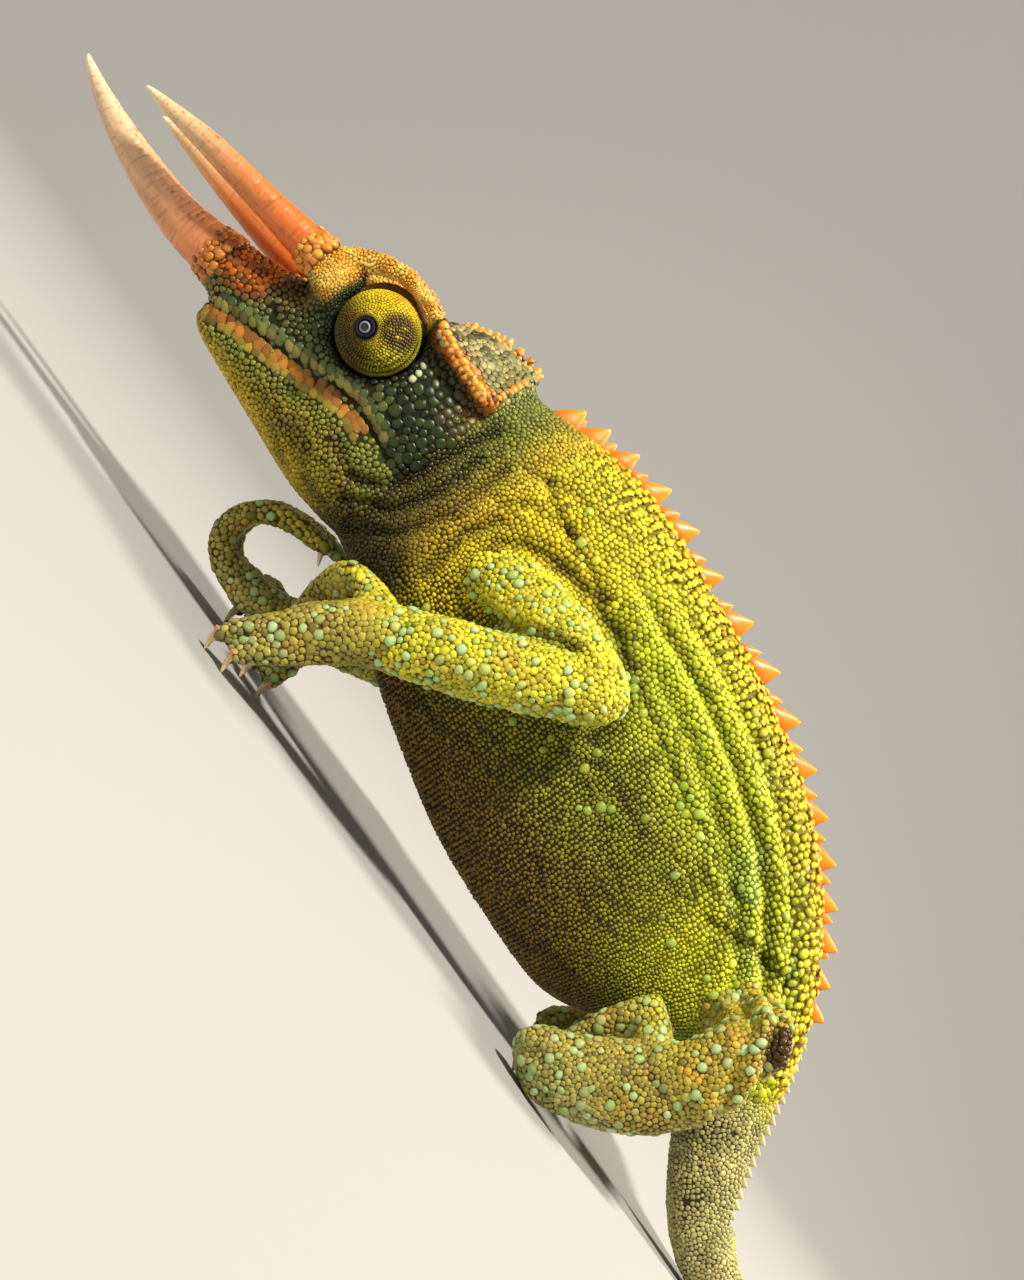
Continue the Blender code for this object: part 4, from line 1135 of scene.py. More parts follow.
def tangents(normals, turn):
    """A direction along the skin at each point, turned by the angle turn from +x."""
    along = np.tile((1.0, 0.0, 0.0), (len(normals), 1))
    steep = np.abs(normals[:, 0]) > 0.9
    along[steep] = (0.0, 0.0, 1.0)
    along = unit(along - normals * np.einsum("ij,ij->i", along, normals)[:, None])
    across = np.cross(normals, along)
    return along * np.cos(turn)[:, None] + across * np.sin(turn)[:, None]


# A scale's rings from its top outward: share of its radius, and of its height.
SMALL_PROFILE = ((0.0, 1.0), (0.62, 0.7), (1.0, -0.35))
LARGE_PROFILE = ((0.0, 1.0), (0.42, 0.92), (0.72, 0.66), (0.88, 0.26), (1.0, -0.4))
CONE_PROFILE = ((0.0, 1.0), (0.3, 0.86), (0.62, 0.5), (0.9, 0.05), (1.0, -0.35))


def bead_faces(rings, sides):
    """One bead's triangles: a fan at its top, bands between its rings, and a flat base."""
    j = np.arange(sides)
    k = (j + 1) % sides
    shell = [np.column_stack([np.zeros(sides, int), 1 + j, 1 + k])]
    for ring in range(rings - 1):
        low = 1 + ring * sides
        high = low + sides
        shell.append(np.column_stack([low + j, high + j, high + k]))
        shell.append(np.column_stack([low + j, high + k, low + k]))
    last = 1 + (rings - 1) * sides
    base = np.arange(1, sides - 1)
    shell.append(np.column_stack([np.full(sides - 2, last), last + base + 1, last + base]))
    return np.vstack(shell)


def beads(place, normal, along, wide, length, height, profile, sides, draw):
    """Closed domes, one to each place: rings by the profile, round an uneven outline. Gives
    their points, faces, each point's share of the radius, and the points of one."""
    across = np.cross(normal, along)
    angles = circle(sides)
    count = len(place)
    uneven = 1 + 0.09 * draw.normal(size=(count, sides)).clip(-2, 2)
    rings = [(place + normal * (height * profile[0][1])[:, None])[:, None]]
    shade = [np.zeros((count, 1))]
    for reach, rise in profile[1:]:
        ring = (
            place[:, None]
            + along[:, None] * (np.cos(angles) * uneven * (length * reach)[:, None])[..., None]
            + across[:, None] * (np.sin(angles) * uneven * (wide * reach)[:, None])[..., None]
            + (normal * (height * rise)[:, None])[:, None]
        )
        rings.append(ring)
        shade.append(np.full((count, sides), reach))
    points = np.concatenate(rings, axis=1)
    per = points.shape[1]
    faces = bead_faces(len(profile) - 1, sides) + (np.arange(count) * per)[:, None, None]
    shade = np.concatenate(shade, axis=1).reshape(-1)
    return points.reshape(-1, 3), faces.reshape(-1, 3), shade, per


def unwrap(points, part):
    """A place for each point on an unwrap of the body: a cell to each solid, in it the run
    along the solid's long axis and the turn round that axis."""
    cells, margin = 5, 0.04
    uv = np.zeros((len(points), 2))
    for number, name in enumerate(FLESH_NODES):
        mine = part == number
        if not mine.any():
            continue
        low, high = (np.array(corner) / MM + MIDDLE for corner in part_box(name))
        middle = (low + high) / 2
        size = high - low
        axis = int(np.argmax(size))
        others = [k for k in range(3) if k != axis]
        run = np.clip((points[mine, axis] - low[axis]) / size[axis], 0, 1)
        away = points[mine][:, others] - middle[others]
        turn = (np.arctan2(away[:, 1], away[:, 0]) / (2 * math.pi)) % 1.0
        row, column = divmod(number, cells)
        uv[mine, 0] = (column + margin + (1 - 2 * margin) * run) / cells
        uv[mine, 1] = (row + margin + (1 - 2 * margin) * turn) / cells
    return uv


# Radius of a scale's patch on the unwrap, and the angle between two of its points there.
PATCH, PATCH_STEP = 0.0015, 2.4


def coat_piece(name, place, part, made, crown, rim, material, fade=0.6, slot="scaly_skin"):
    """A piece of scales, each tinted from its crown to its rim, with its OFBake patches; the
    fade to a darker rim is painted shade at each scale's foot.
    """
    points, faces, shade, per = made
    crown, rim, root = (np.repeat(each, per, axis=0) for each in (crown, rim, unwrap(place, part)))
    number = np.tile(np.arange(per), len(place))
    patch = np.column_stack([np.cos(number * PATCH_STEP), np.sin(number * PATCH_STEP)])
    uv = root + PATCH * patch * (number > 0)[:, None]
    tint = mix(crown, rim, ramp(shade, fade, 1.0))
    mesh_piece(name, points, faces, tint, material, slot, uv)


# The rows of scales along the lips: how far over the line between them and how far apart,
# then a scale's half length, half width, height and colour.
LIP_ROWS = (
    (0.56, 1.3, 0.98, 0.72, 0.2, "#7C7638"),
    (1.65, 1.25, 0.9, 0.74, 0.22, "#4C5C2C"),
    (-0.34, 1.16, 0.92, 0.74, 0.14, "#8A5C1A"),
    (-1.2, 1.36, 1.1, 0.8, 0.15, "#A2681C"),
    (-2.12, 1.1, 0.88, 0.74, 0.15, "#867422"),
)
# The arc of pale scales behind the eye (x, z).
PALE_ARC = ((-36.4, 45.0), (-35.5, 44.2), (-34.7, 43.0), (-34.2, 41.6), (-34.0, 40.2))


def lip_rows():
    """Each row's places, half length, half width, height, colour and solid, on both sides."""
    rows = []
    for lift, pitch, *kind in LIP_ROWS:
        upper = lift > 0
        xs = np.arange(-57.4 if upper else -58.0, -29.5 if upper else -32.4, pitch)
        xs = xs + 0.12 * np.sin(xs * 3.1 + 5 * lift)
        side = np.interp(xs, (-58, -50, -40, -30), (3.5, 6.5, 8.5, 9.5))
        zs = mouth_height(xs) + lift + 0.12 * np.sin(xs * 4.3 + 3 * lift)
        rows.append((np.column_stack([xs, -side, zs]), *kind, HEAD if upper else JAW))
    x, z = np.transpose(PALE_ARC)
    arc = np.column_stack([x, np.full(len(x), -9.5), z])
    rows.append((arc, 0.6, 0.52, 0.36, "#A3AC84", HEAD))
    return [(half, *kind) for line, *kind in rows for half in (line, mirrored(line))]


# Scales of at least this radius have the rounder profile.
LARGE_SCALE = 0.62
RIB_PITCH = 1.45


def back_ribs(place, part):
    """Ribs across the back under the crest: how high each place lies on one, -1 to 1, how
    strong the ribs are there, and the slide that draws the place to its rib's middle."""
    line, way = back_line()
    run = run_along(line)
    mine = np.flatnonzero(((part == TORSO) | (part == NECK)) & (place[:, 2] > 24))
    away = place[mine][:, None, [0, 2]] - line[None]
    distance = np.hypot(away[..., 0], away[..., 1])
    nearest = distance.argmin(axis=1)
    below = distance[np.arange(len(mine)), nearest]
    waver = 0.35 * ripple(place[mine], 6.0, 91)
    phase = ((run[nearest] + 0.25 * below) / RIB_PITCH + waver + 0.5) % 1.0 - 0.5
    fade = np.zeros(len(place))
    fade[mine] = ramp(below, 9.0, 3.0) * ramp(place[mine, 0], -18, -6)
    fade *= 0.75 + 0.3 * ripple(place, 4.0, 92)
    wave = np.zeros(len(place))
    wave[mine] = fade[mine] * np.cos(phase * 2 * math.pi)
    slide = np.zeros((len(place), 3))
    slide[np.ix_(mine, [0, 2])] = (-0.45 * RIB_PITCH * phase * fade[mine])[:, None] * way[nearest]
    return wave, fade, slide


def scale_tint(scales, wave, draw):
    """Each scale's colour: the body's there, varied, lighter on the ribs' crests and darker
    between them as painted light and shade, and mint green on the large scales."""
    place, count = scales.place, len(scales.place)
    # Painted light on the ribs' crests and painted shade between them.
    tint = body_tint(place, scales.part) * (1 + 0.3 * wave)[:, None]
    tint *= draw.normal(1.0, 0.2, count).clip(0.5, 1.6)[:, None]
    yellow = draw.random(count)[:, None]
    tint = tint * (1 + 0.16 * (yellow - 0.5) * np.array([1.0, 0.2, -1.0]))
    mint = between("#93BE6E", "#B4D296", draw.random(count))
    pale = draw.uniform(0.25, 0.95, count) * scales.tubercle * (1 - knee_patch(place))
    tint = mix(tint, mint, pale)
    return paint(tint, "#9CC25A", 0.55 * scales.stud * draw.random(count))


def regions(scales):
    """The coat's pieces, by name: which scales each one has."""
    x, y, _ = scales.place.T
    part = scales.part
    torso, legs = part == TORSO, np.isin(part, LEGS)
    return {
        "scales_head": part == HEAD,
        "scales_jaw": part == JAW,
        "scales_neck": part == NECK,
        "scales_flank_left": torso & (y < 0) & (x < TRUNK_SPLIT),
        "scales_flank_right": torso & (y >= 0) & (x < TRUNK_SPLIT),
        "scales_rear_left": torso & (y < 0) & (x >= TRUNK_SPLIT),
        "scales_rear_right": torso & (y >= 0) & (x >= TRUNK_SPLIT),
        "scales_forelegs": legs & (x < LEG_SPLIT),
        "scales_hind_legs": legs & (x >= LEG_SPLIT),
        "scales_tail": np.isin(part, TAIL),
    }


def build_scales(body):
    """Every bead scale of the body, in pieces by region, and the rows along the lips."""
    draw = np.random.default_rng(SEEDS["scales"])
    lips = [(*body.pressed(line), *kind) for line, *kind in lip_rows()]
    scales = settled_scales(body, search_tree(np.vstack([row[0] for row in lips])), draw)
    part, radius = scales.part, scales.radius
    wave, ribbed, slide = back_ribs(scales.place, part)
    place, face = body.pressed(scales.place + slide)
    normal = body.normal_at(face)
    turn = draw.uniform(-0.5, 0.5, len(place)) + math.pi / 2 * (ribbed > 0.4)
    along = tangents(normal, turn)
    stretch = draw.normal(1.0, 0.09, len(place)) + 0.2 * ribbed
    plates = (part == HEAD) & (radius > 0.5)
    height = radius * np.where(scales.tubercle, 0.8, np.where(scales.stud, 0.7, 0.64))
    height = np.where(plates, radius * 0.38, height)
    height = np.where(np.isin(part, FEET), radius * 0.5, height)
    size = radius * np.where(scales.tubercle & ~plates, 1.12, 1.26)
    scales = scales._replace(place=place + normal * (0.3 * wave)[:, None])
    tint = scale_tint(scales, wave, draw)
    rim = gap_tint(scales.place, part)
    shapes = (scales.place, normal, along, size * (1 - 0.1 * ribbed), size * stretch, height)
    for name, mine in regions(scales).items():
        for label, chosen, profile, sides in (
            ("", mine & (radius < LARGE_SCALE), SMALL_PROFILE, 7),
            ("_large", mine & (radius >= LARGE_SCALE), LARGE_PROFILE, 9),
        ):
            if chosen.any():
                made = beads(*(each[chosen] for each in shapes), profile, sides, draw)
                # Crowns a tenth lighter as painted light, fading to the gap colour at the rim as
                # painted shade.
                coat_piece(name + label, scales.place[chosen], part[chosen], made,
                           tint[chosen] * 1.1, rim[chosen], beaded_keratin())
    for number, (spot, face, length, wide, tall, code, solid) in enumerate(lips):
        normal = body.normal_at(face)
        along = tangents(normal, np.full(len(spot), -0.3))
        near = draw.uniform(0.88, 1.1, len(spot))
        tint = linear(code) * draw.normal(1.0, 0.26, len(spot)).clip(0.5, 1.6)[:, None]
        made = beads(spot, normal, along, near * wide, near * length, near * tall,
                     LARGE_PROFILE, 9, draw)
        # Crowns a tenth lighter as painted light, rims at a quarter as painted shade.
        coat_piece(f"lip_scales_{number}", spot, np.full(len(spot), solid), made, tint * 1.1,
                   tint * 0.25, beaded_keratin())


# The head's crests


ORANGE = ("#DE7C1A", "#EE9226")
AMBER = ("#EE921C", "#F8A830")
RUST = ("#C8701C", "#E08A24")
# Rows of cone scales: name, ridge, how far the row lies from it on the left side, a cone's
# radius, height and pitch, and the two colours that the cones lie between.
CREST_ROWS = (
    ("brow_crest_{}_0", CREST_PATH, (0, 0, 0.1), 0.5, 0.62, 0.8, ORANGE),
    ("brow_crest_{}_1", CREST_PATH, (0.3, -0.6, -0.9), 0.4, 0.28, 0.8, ORANGE),
    ("brow_crest_{}_2", CREST_PATH, (0.6, 0.9, -0.5), 0.4, 0.28, 0.8, ORANGE),
    ("side_crest_{}", SIDE_CREST_PATH, (0, 0, 0), 0.66, 0.62, 1.0, AMBER),
    ("side_crest_low_{}", SIDE_CREST_PATH, (0.3, 0, -0.9), 0.58, 0.42, 0.92, RUST),
    ("side_crest_high_{}", SIDE_CREST_PATH, (0.5, -0.5, 0.95), 0.54, 0.4, 0.9, ORANGE),
    ("rear_crest_{}", REAR_CREST_PATH, (0, 0, 0), 0.62, 0.6, 0.98, AMBER),
)
TOP_ROW = ("top_crest", TOP_CREST_PATH, (0, 0, 0), 0.66, 0.85, 1.05, AMBER)
TOP_SIDE_ROW = ("top_crest_{}", TOP_CREST_PATH, (0.4, -0.9, -0.6), 0.52, 0.42, 0.92, AMBER)


def crest_beads(name, ridge, shape, codes, body, draw):
    """Round cone scales set along a ridge of the head, each leaning out of the skin, with a
    painted highlight on its crown and painted shade at its rim.
    """
    radius, height, pitch = shape
    line = along_path(ridge, pitch)
    line = line + draw.normal(0, 0.08, line.shape)
    spots, face = body.pressed(line)
    normal = unit(unit(line - spots + 1e-9) * 0.4 + body.normal_at(face))
    count = len(spots)
    size = radius * draw.uniform(0.8, 1.2, count)
    tall = height * draw.uniform(0.75, 1.15, count)
    along = tangents(normal, draw.uniform(-0.4, 0.4, count))
    made = beads(spots, normal, along, size, size * 1.05, tall, CONE_PROFILE, 10, draw)
    tint = between(*codes, draw.random(count))
    # Painted highlight: pale yellow in each crown; painted shade: the rim at 0.6 of the colour.
    coat_piece(name, spots, np.full(count, HEAD), made, paint(tint, "#FFC65A", 0.45),
               tint * 0.6, crest_keratin(), fade=0.2)


def build_head_crests(body):
    """Each side's rows of cone scales, then the three along the casque's top."""
    draw = np.random.default_rng(SEEDS["head_crests"])
    rows = [(row, *half) for half in SIDES for row in CREST_ROWS]
    rows += [(TOP_ROW, 1, ""), *((TOP_SIDE_ROW, *half) for half in SIDES)]
    for (name, path, shift, *shape, codes), side, label in rows:
        ridge = (np.array(path) + shift) * (1, side, 1)
        crest_beads(name.format(label), ridge, shape, codes, body, draw)


# The eyes


# The granules stand on this ball, from the first angle to the last from the pupil.
LID_RADIUS = EYE_RADIUS - 0.3
TURRET_SIDES, EYEBALL_SIDES, LID_EDGE_SIDES, TUBE_SIDES, FOLD_SIDES = 96, 64, 72, 12, 14
GRANULES_START, GRANULES_END = 0.275, 2.0
# Their radius by that angle.
GRANULE_SIZES = ((0.3, 0.5, 0.9, 1.15, 1.3, 2.0), (0.13, 0.19, 0.23, 0.22, 0.17, 0.17))
# The lids' dimple: its depth, and the angles from the pupil where it starts and is deepest.
DIMPLE_DEPTH, DIMPLE_START, DIMPLE_FLOOR = 2.6, 0.25, 0.12
# The raised rim round the dimple: its height, its angle from the pupil and its width.
RIM_HEIGHT, RIM_ANGLE, RIM_WIDTH = 0.12, 0.29, 0.04
# The pale ring on the eyeball: its radius and its width.
PALE_RING, PALE_RING_WIDTH = 0.64, 0.085
# The lids' bare edge: its radius, how thick it is, and how far it lies before the eyeball's
# centre.
LID_EDGE, LID_EDGE_THICK, LID_EDGE_AHEAD = 1.1, 0.2, 1.02
# The lid's fold: its arc's angles in degrees, how far it lies outside the eye and inward from
# the eye's centre, and how thick it is.
FOLD_ARC, FOLD_OUTSIDE, FOLD_INWARD, FOLD_THICK = (58, 172), 0.3, 1.3, 0.72


def eye_facing(side):
    """The way an eye looks, and two directions across it."""
    axis = unit((PUPIL - EYE) * (1, side, 1))
    across = unit(np.cross(axis, (0.0, 0.0, 1.0)))
    return axis, across, np.cross(axis, across)


def directions(polar, turn, facing):
    """Unit vectors at polar angles from the way the eye looks, turned round it."""
    axis, across, other = facing
    polar, turn = polar[..., None], turn[..., None]
    return np.cos(polar) * axis + np.sin(polar) * (np.cos(turn) * across + np.sin(turn) * other)


def turret_tint(points, side):
    """Yellow lids, olive below and behind, with dark smears and flecks, and thin dark rings that
    are painted shade of fine folds.
    """
    x, _, z = (points - EYE * (1, side, 1)).T
    reach = np.hypot(x, z)
    tint = between("#D8C20E", "#5A4A10", ramp(z + 0.3 * x, 1.2, -3.6))
    tint = paint(tint, "#E0A416", 0.7 * ramp(z, 2.6, 4.6) * ramp(x, 1.5, -2.0))
    tint = paint(tint, "#A8AC22", 0.7 * ramp(x, 1.5, 4.5))
    smear = ripple(points, 0.9, 61)
    patch = np.hypot((0.585 * x + 0.811 * z - 2.7) / 2.7, (0.811 * x - 0.585 * z - 0.5) / 2.7)
    tint = paint(tint, "#3E260A", 0.92 * ramp(smear, -1.5, -0.5) * ramp(patch, 1.15, 0.6))
    side_patch = np.hypot((x + 2.6) / 1.3, (z + 1.6) / 2.0)
    tint = paint(tint, "#6A4A10", 0.8 * ramp(smear, -0.5, 0.4) * ramp(side_patch, 1.2, 0.5))
    flecks = ramp(ripple(points, 0.9, 66), 0.75, 1.2) * ramp(z, 4.0, 0.0)
    tint = paint(tint, "#5A4210", 0.6 * flecks)
    # Painted shade of the lids' fine folds: thin dark rings with no relief under them.
    rings = sum(np.exp(-(((reach - at) / 0.13) ** 2)) for at in (3.95, 4.6, 5.15))
    tint = paint(tint, "#3A340C", 0.9 * np.clip(rings, 0, 1) * ramp(x - z, -1.0, 2.0))
    rim = np.linalg.norm(points - PUPIL * (1, side, 1), axis=1)
    return paint(tint, "#2A2010", ramp(rim, 1.85, 1.55))


def build_turret(side, label, facing):
    """A ball of lids with a dimple where the eye looks out, as radius over polar angle."""
    polar = np.concatenate([[0.001], np.linspace(0.02, math.pi - 0.02, 90)])
    radius = LID_RADIUS - DIMPLE_DEPTH * ramp(polar, DIMPLE_START, DIMPLE_FLOOR)
    radius = radius + RIM_HEIGHT * np.exp(-(((polar - RIM_ANGLE) / RIM_WIDTH) ** 2))
    way = directions(polar[:, None], circle(TURRET_SIDES), facing)
    points = (EYE * (1, side, 1) + way * radius[:, None, None]).reshape(-1, 3)
    # The skin between the granules: the lids' colours at 0.35, partly painted shade in the gaps.
    turret = mesh_piece(f"eye_turret_{label}", points,
                        grid_faces(len(polar), TURRET_SIDES), turret_tint(points, side) * 0.35,
                        interscale_skin(), "lid_skin")
    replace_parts(close_ends(turret), f"eye_{label}")


def build_granules(side, label, facing, draw):
    """The lids' granules: rings of small domes round the pupil, over the outer half."""
    centre = EYE * (1, side, 1)
    spots, sizes = [], []
    angle = GRANULES_START
    while angle < GRANULES_END:
        size = float(np.interp(angle, *GRANULE_SIZES))
        count = int(2 * math.pi * math.sin(angle) * EYE_RADIUS / (2 * size))
        turn = circle(count) + draw.uniform(0, 1)
        tilt = angle + draw.normal(0, 0.008, count)
        spots.append(centre + directions(tilt, turn, facing) * LID_RADIUS)
        sizes.append(np.full(count, size))
        angle += 1.86 * size / EYE_RADIUS
    spot = np.vstack(spots)
    size = np.concatenate(sizes) * draw.uniform(0.85, 1.15, len(spot))
    normal = unit(spot - centre)
    along = tangents(normal, np.zeros(len(spot)))
    made = beads(spot, normal, along, size * 1.2, size * 1.2, size * 0.8, SMALL_PROFILE, 6, draw)
    tint = turret_tint(spot, side) * draw.normal(1, 0.14, len(spot)).clip(0.6, 1.4)[:, None]
    # Crowns a tenth lighter as painted light, rims at 0.3 as painted shade.
    coat_piece(f"lid_granules_{label}", spot, np.full(len(spot), HEAD), made, tint * 1.1,
               tint * 0.3, beaded_keratin(), fade=0.4, slot="lid_skin")


def build_pupil(side, label, facing):
    """The eyeball in the lids' opening: black, with one thin pale ring round the pupil."""
    polar = np.linspace(0.002, math.pi - 0.002, 72)
    way = directions(polar[:, None], circle(EYEBALL_SIDES), facing)
    points = (PUPIL * (1, side, 1) + way * (PUPIL_RADIUS - 0.02)).reshape(-1, 3)
    reach = np.repeat(np.sin(polar) * PUPIL_RADIUS, EYEBALL_SIDES)
    pale = np.exp(-(((reach - PALE_RING) / PALE_RING_WIDTH) ** 2))
    tint = between("#08080C", "#A4A2C4", pale)
    eyeball = mesh_piece(f"eyeball_{label}", points, grid_faces(len(polar), EYEBALL_SIDES),
                         tint, wet_cornea(), "eye_surface")
    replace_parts(close_ends(eyeball), f"pupil_{label}")


def build_lid_ring(side, label, facing):
    """The bare dark edge of the lids: a thin ring swept round the opening."""
    axis, across, other = facing
    turn, around = circle(LID_EDGE_SIDES)[:, None, None], circle(TUBE_SIDES)[:, None]
    out = np.cos(turn) * across + np.sin(turn) * other
    ahead = axis * (LID_EDGE_AHEAD + LID_EDGE_THICK * np.sin(around))
    ring = out * (LID_EDGE + LID_EDGE_THICK * np.cos(around))
    points = (PUPIL * (1, side, 1) + ahead + ring).reshape(-1, 3)
    faces = grid_faces(LID_EDGE_SIDES, TUBE_SIDES, ring=True)[:, ::-1]
    mesh_piece(f"lid_edge_{label}", points, faces, linear("#1E1622"), interscale_skin(),
               "lid_skin")


def build_lid_fold(side, label):
    """The fold that ties the turret to the brow over it: a tube swept on an arc round the
    eye, from in front of it to above, thin at both ends."""
    angle = np.radians(np.linspace(*FOLD_ARC, 40))
    round_eye = np.column_stack([np.cos(angle), np.zeros(len(angle)), np.sin(angle)])
    middle = (EYE + (0.0, FOLD_INWARD, 0.0)) * (1, side, 1)
    path = middle + round_eye * (EYE_RADIUS + FOLD_OUTSIDE)
    radii = FOLD_THICK * np.sin(np.linspace(0.3, math.pi - 0.3, len(path)))
    points = swept(path, radii, FOLD_SIDES)
    tint = linear("#5A4012") * (1 + 0.3 * ripple(points, 0.8, 68))[:, None]
    close_ends(mesh_piece(f"lid_fold_{label}", points, grid_faces(len(path), FOLD_SIDES), tint,
                          interscale_skin(), "lid_skin"))


def build_eyes():
    """Both eyes: turret, granules, eyeball, and the lids' edge and fold."""
    draw = np.random.default_rng(SEEDS["eyes"])
    for side, label in SIDES:
        facing = eye_facing(side)
        build_turret(side, label, facing)
        build_granules(side, label, facing, draw)
        build_pupil(side, label, facing)
        build_lid_ring(side, label, facing)
        build_lid_fold(side, label)


# Horns


# Each horn's curve (x, y, z) and its radius there, from the root to the tip.
NOSE_HORN = ((-61.6, 0, 29.5, 3.75), (-70.0, 0, 28.1, 3.02), (-80.1, 0, 28.2, 2.22),
             (-88.0, 0, 29.2, 1.33), (-92.4, 0, 30.3, 0.6), (-94.0, 0, 30.9, 0.16))
BROW_HORN = ((-53.7, -5.4, 39.8, 2.72), (-63.6, -5.9, 38.2, 2.08), (-73.4, -6.3, 36.7, 1.62),
             (-79.5, -6.5, 35.4, 1.02), (-82.8, -6.5, 34.8, 0.48), (-84.1, -6.5, 34.5, 0.14))
# The right brow horn is the left one mirrored, then moved row by row.
RIGHT_HORN_MOVES = ((0, 0, -2.2), (0, 0, -2.1), (0, 0, -1.35), (0, 0, -0.65), (0.35, 0, -0.5),
                    (0.5, 0, -0.45))
HORN_STEP = 0.12
HORN_SIDES = 40


def horn_piece(label, rows, codes, seed, ring_depth):
    """A horn: circles along its curve, their radius pinched at uneven growth rings."""
    draw = np.random.default_rng(seed)
    path = along_path(rows, HORN_STEP)
    count = len(path)
    place = np.arange(count) * HORN_STEP
    edges = np.cumsum(draw.uniform(0.7, 1.9, 60))
    nearest = np.abs(place[:, None] - edges[None]).min(axis=1)
    groove = np.exp(-((nearest / 0.16) ** 2)) * ring_depth
    swell = 0.008 * np.sin(place * 2.1 + draw.uniform(0, 6)) + 0.004 * np.sin(place * 4.7)
    radii = np.maximum(path[:, 3] * (1 - groove + swell), 0.05)
    points = swept(path[:, :3], radii, HORN_SIDES)
    share = np.repeat(place / place[-1], HORN_SIDES)
    turn = np.tile(circle(HORN_SIDES), count)
    fibre = ripple(np.column_stack([share * 5, np.cos(turn) * 5, np.sin(turn) * 5]), 1.2, seed)
    tint = between(*codes[:2], ramp(share, 0.05, 0.5))
    tint = paint(tint, codes[2], ramp(share, 0.4, 0.9))
    tint = paint(tint, "#F3E3BE", ramp(share, 0.86, 1.0))
    tint = tint * (1 + 0.12 * fibre)[:, None]
    ringed = np.repeat(np.exp(-((nearest / 0.14) ** 2)), HORN_SIDES)
    broken = ramp(ripple(points, 2.2, seed + 3), -0.4, 0.8)
    tint = mix(tint, tint * 0.6, ringed * broken * 0.6)
    specks = ramp(ripple(points, 0.7, seed + 5), 0.8, 1.3)
    specks += 0.8 * ramp(ripple(points, 1.9, seed + 6), 0.9, 1.4)
    below = ramp(np.sin(turn), 0.3, -0.6)
    tint = paint(tint, "#6A3A22", 0.7 * np.clip(specks, 0, 1) * (0.4 + 0.6 * below))
    piece = mesh_piece(f"ringed_horn_{label}", points, grid_faces(count, HORN_SIDES), tint,
                       horn_keratin(), "horn")
    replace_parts(close_ends(piece), f"horn_{label}")


# A horn's collar, ring by ring from its root: a scale's radius, and the share that is there.
COLLAR_RINGS = ((0.74, 1.0), (0.7, 1.0), (0.62, 0.9), (0.5, 0.5))


def collar(name, rows, codes, draw):
    """Scales that lap a horn's base: rings of beads round its curve, smaller outward, each a
    little lighter at its crown and darker at its rim as painted light and shade.
    """
    path = along_path(rows, 0.82)[: len(COLLAR_RINGS)]
    forward = unit(np.gradient(path[:, :3], axis=0))
    rings = []
    for number, (row, way, (size, share)) in enumerate(zip(path, forward, COLLAR_RINGS)):
        side = unit(np.cross(way, (0.0, 0.0, 1.0)))
        up = np.cross(side, way)
        count = int(2 * math.pi * row[3] / (1.55 * size))
        turn = circle(count, 0.5 * (number % 2)) + draw.normal(0, 0.05, count)
        out = np.cos(turn)[:, None] * side + np.sin(turn)[:, None] * up
        ragged = draw.normal(0, 0.16, count)
        keep = draw.random(count) < share
        spot = row[:3] + out * (row[3] - 0.06) + way * ragged[:, None]
        sizes = size * draw.uniform(0.85, 1.15, count)
        rings.append((spot[keep], unit(out + way * 0.35)[keep], sizes[keep]))
    spot, normal, size = (np.concatenate(columns) for columns in zip(*rings))
    along = tangents(normal, draw.uniform(-0.4, 0.4, len(spot)))
    made = beads(spot, normal, along, size, size * 1.05, size * 0.62, LARGE_PROFILE, 9, draw)
    tint = between(*codes, draw.random(len(spot)))
    # Crowns a tenth lighter as painted light, rims at 0.35 as painted shade.
    coat_piece(name, spot, np.full(len(spot), HEAD), made, tint * 1.1, tint * 0.35,
               crest_keratin())


def build_horns():
    """The collars, then the horns."""
    draw = np.random.default_rng(SEEDS["collars"])
    right = mirrored(BROW_HORN)
    right[:, :3] += RIGHT_HORN_MOVES
    collar("collar_nose", NOSE_HORN, ("#9A4A16", "#CC8426"), draw)
    collar("collar_left", BROW_HORN, ("#C8701A", "#E0A038"), draw)
    collar("collar_right", right, ("#C8701A", "#E0A038"), draw)
    horn_piece("nose", NOSE_HORN, ("#E08A54", "#D6A67C", "#DCC098"), 71, 0.018)
    horn_piece("left", BROW_HORN, ("#DC6A1C", "#CC7A3A", "#DDBE8E"), 72, 0.01)
    horn_piece("right", right, ("#DC6A1C", "#CC7A3A", "#DDBE8E"), 73, 0.01)


# The crest along the back


# The first and last large teeth (x), where they stand widest apart, and how far there.
SPINE_START = -18.2
SPINE_END = 65.0
SPINE_WIDEST = 10.0
SPINE_SPACING = 7.0
# How fast the spacing shrinks with the square of the way ahead of there, and behind it.
CLOSING_AHEAD, CLOSING_BEHIND = 0.004, 0.0016
# Each place's two teeth: how far ahead of it one stands, and its share of the size.
TOOTH_PAIR = ((3.4, 0.6), (0.9, 1.0))
# No tooth stands ahead of this x.
CREST_FRONT = -20.0
# The small teeth's first and last x, how far apart they stand, and their size.
SMALL_START, SMALL_END, SMALL_APART, SMALL_SIZE = 64.5, 78.5, 1.5, 0.36
TOOTH_SIDES = 14
# How high a tooth of size 1 is, and how deep its root lies under the back's outline.
TOOTH_HEIGHT, TOOTH_ROOT = 2.5, 0.5
# Its ellipses from the root up: share of the height, half length, half width and lean.
TOOTH_ROWS = (
    (-0.4, 2.3, 1.15, -0.1),
    (0.0, 2.2, 1.05, 0.0),
    (0.25, 1.78, 0.78, 0.32),
    (0.5, 1.28, 0.54, 0.7),
    (0.75, 0.76, 0.34, 1.12),
    (0.92, 0.34, 0.18, 1.42),
    (1.0, 0.1, 0.05, 1.52),
)


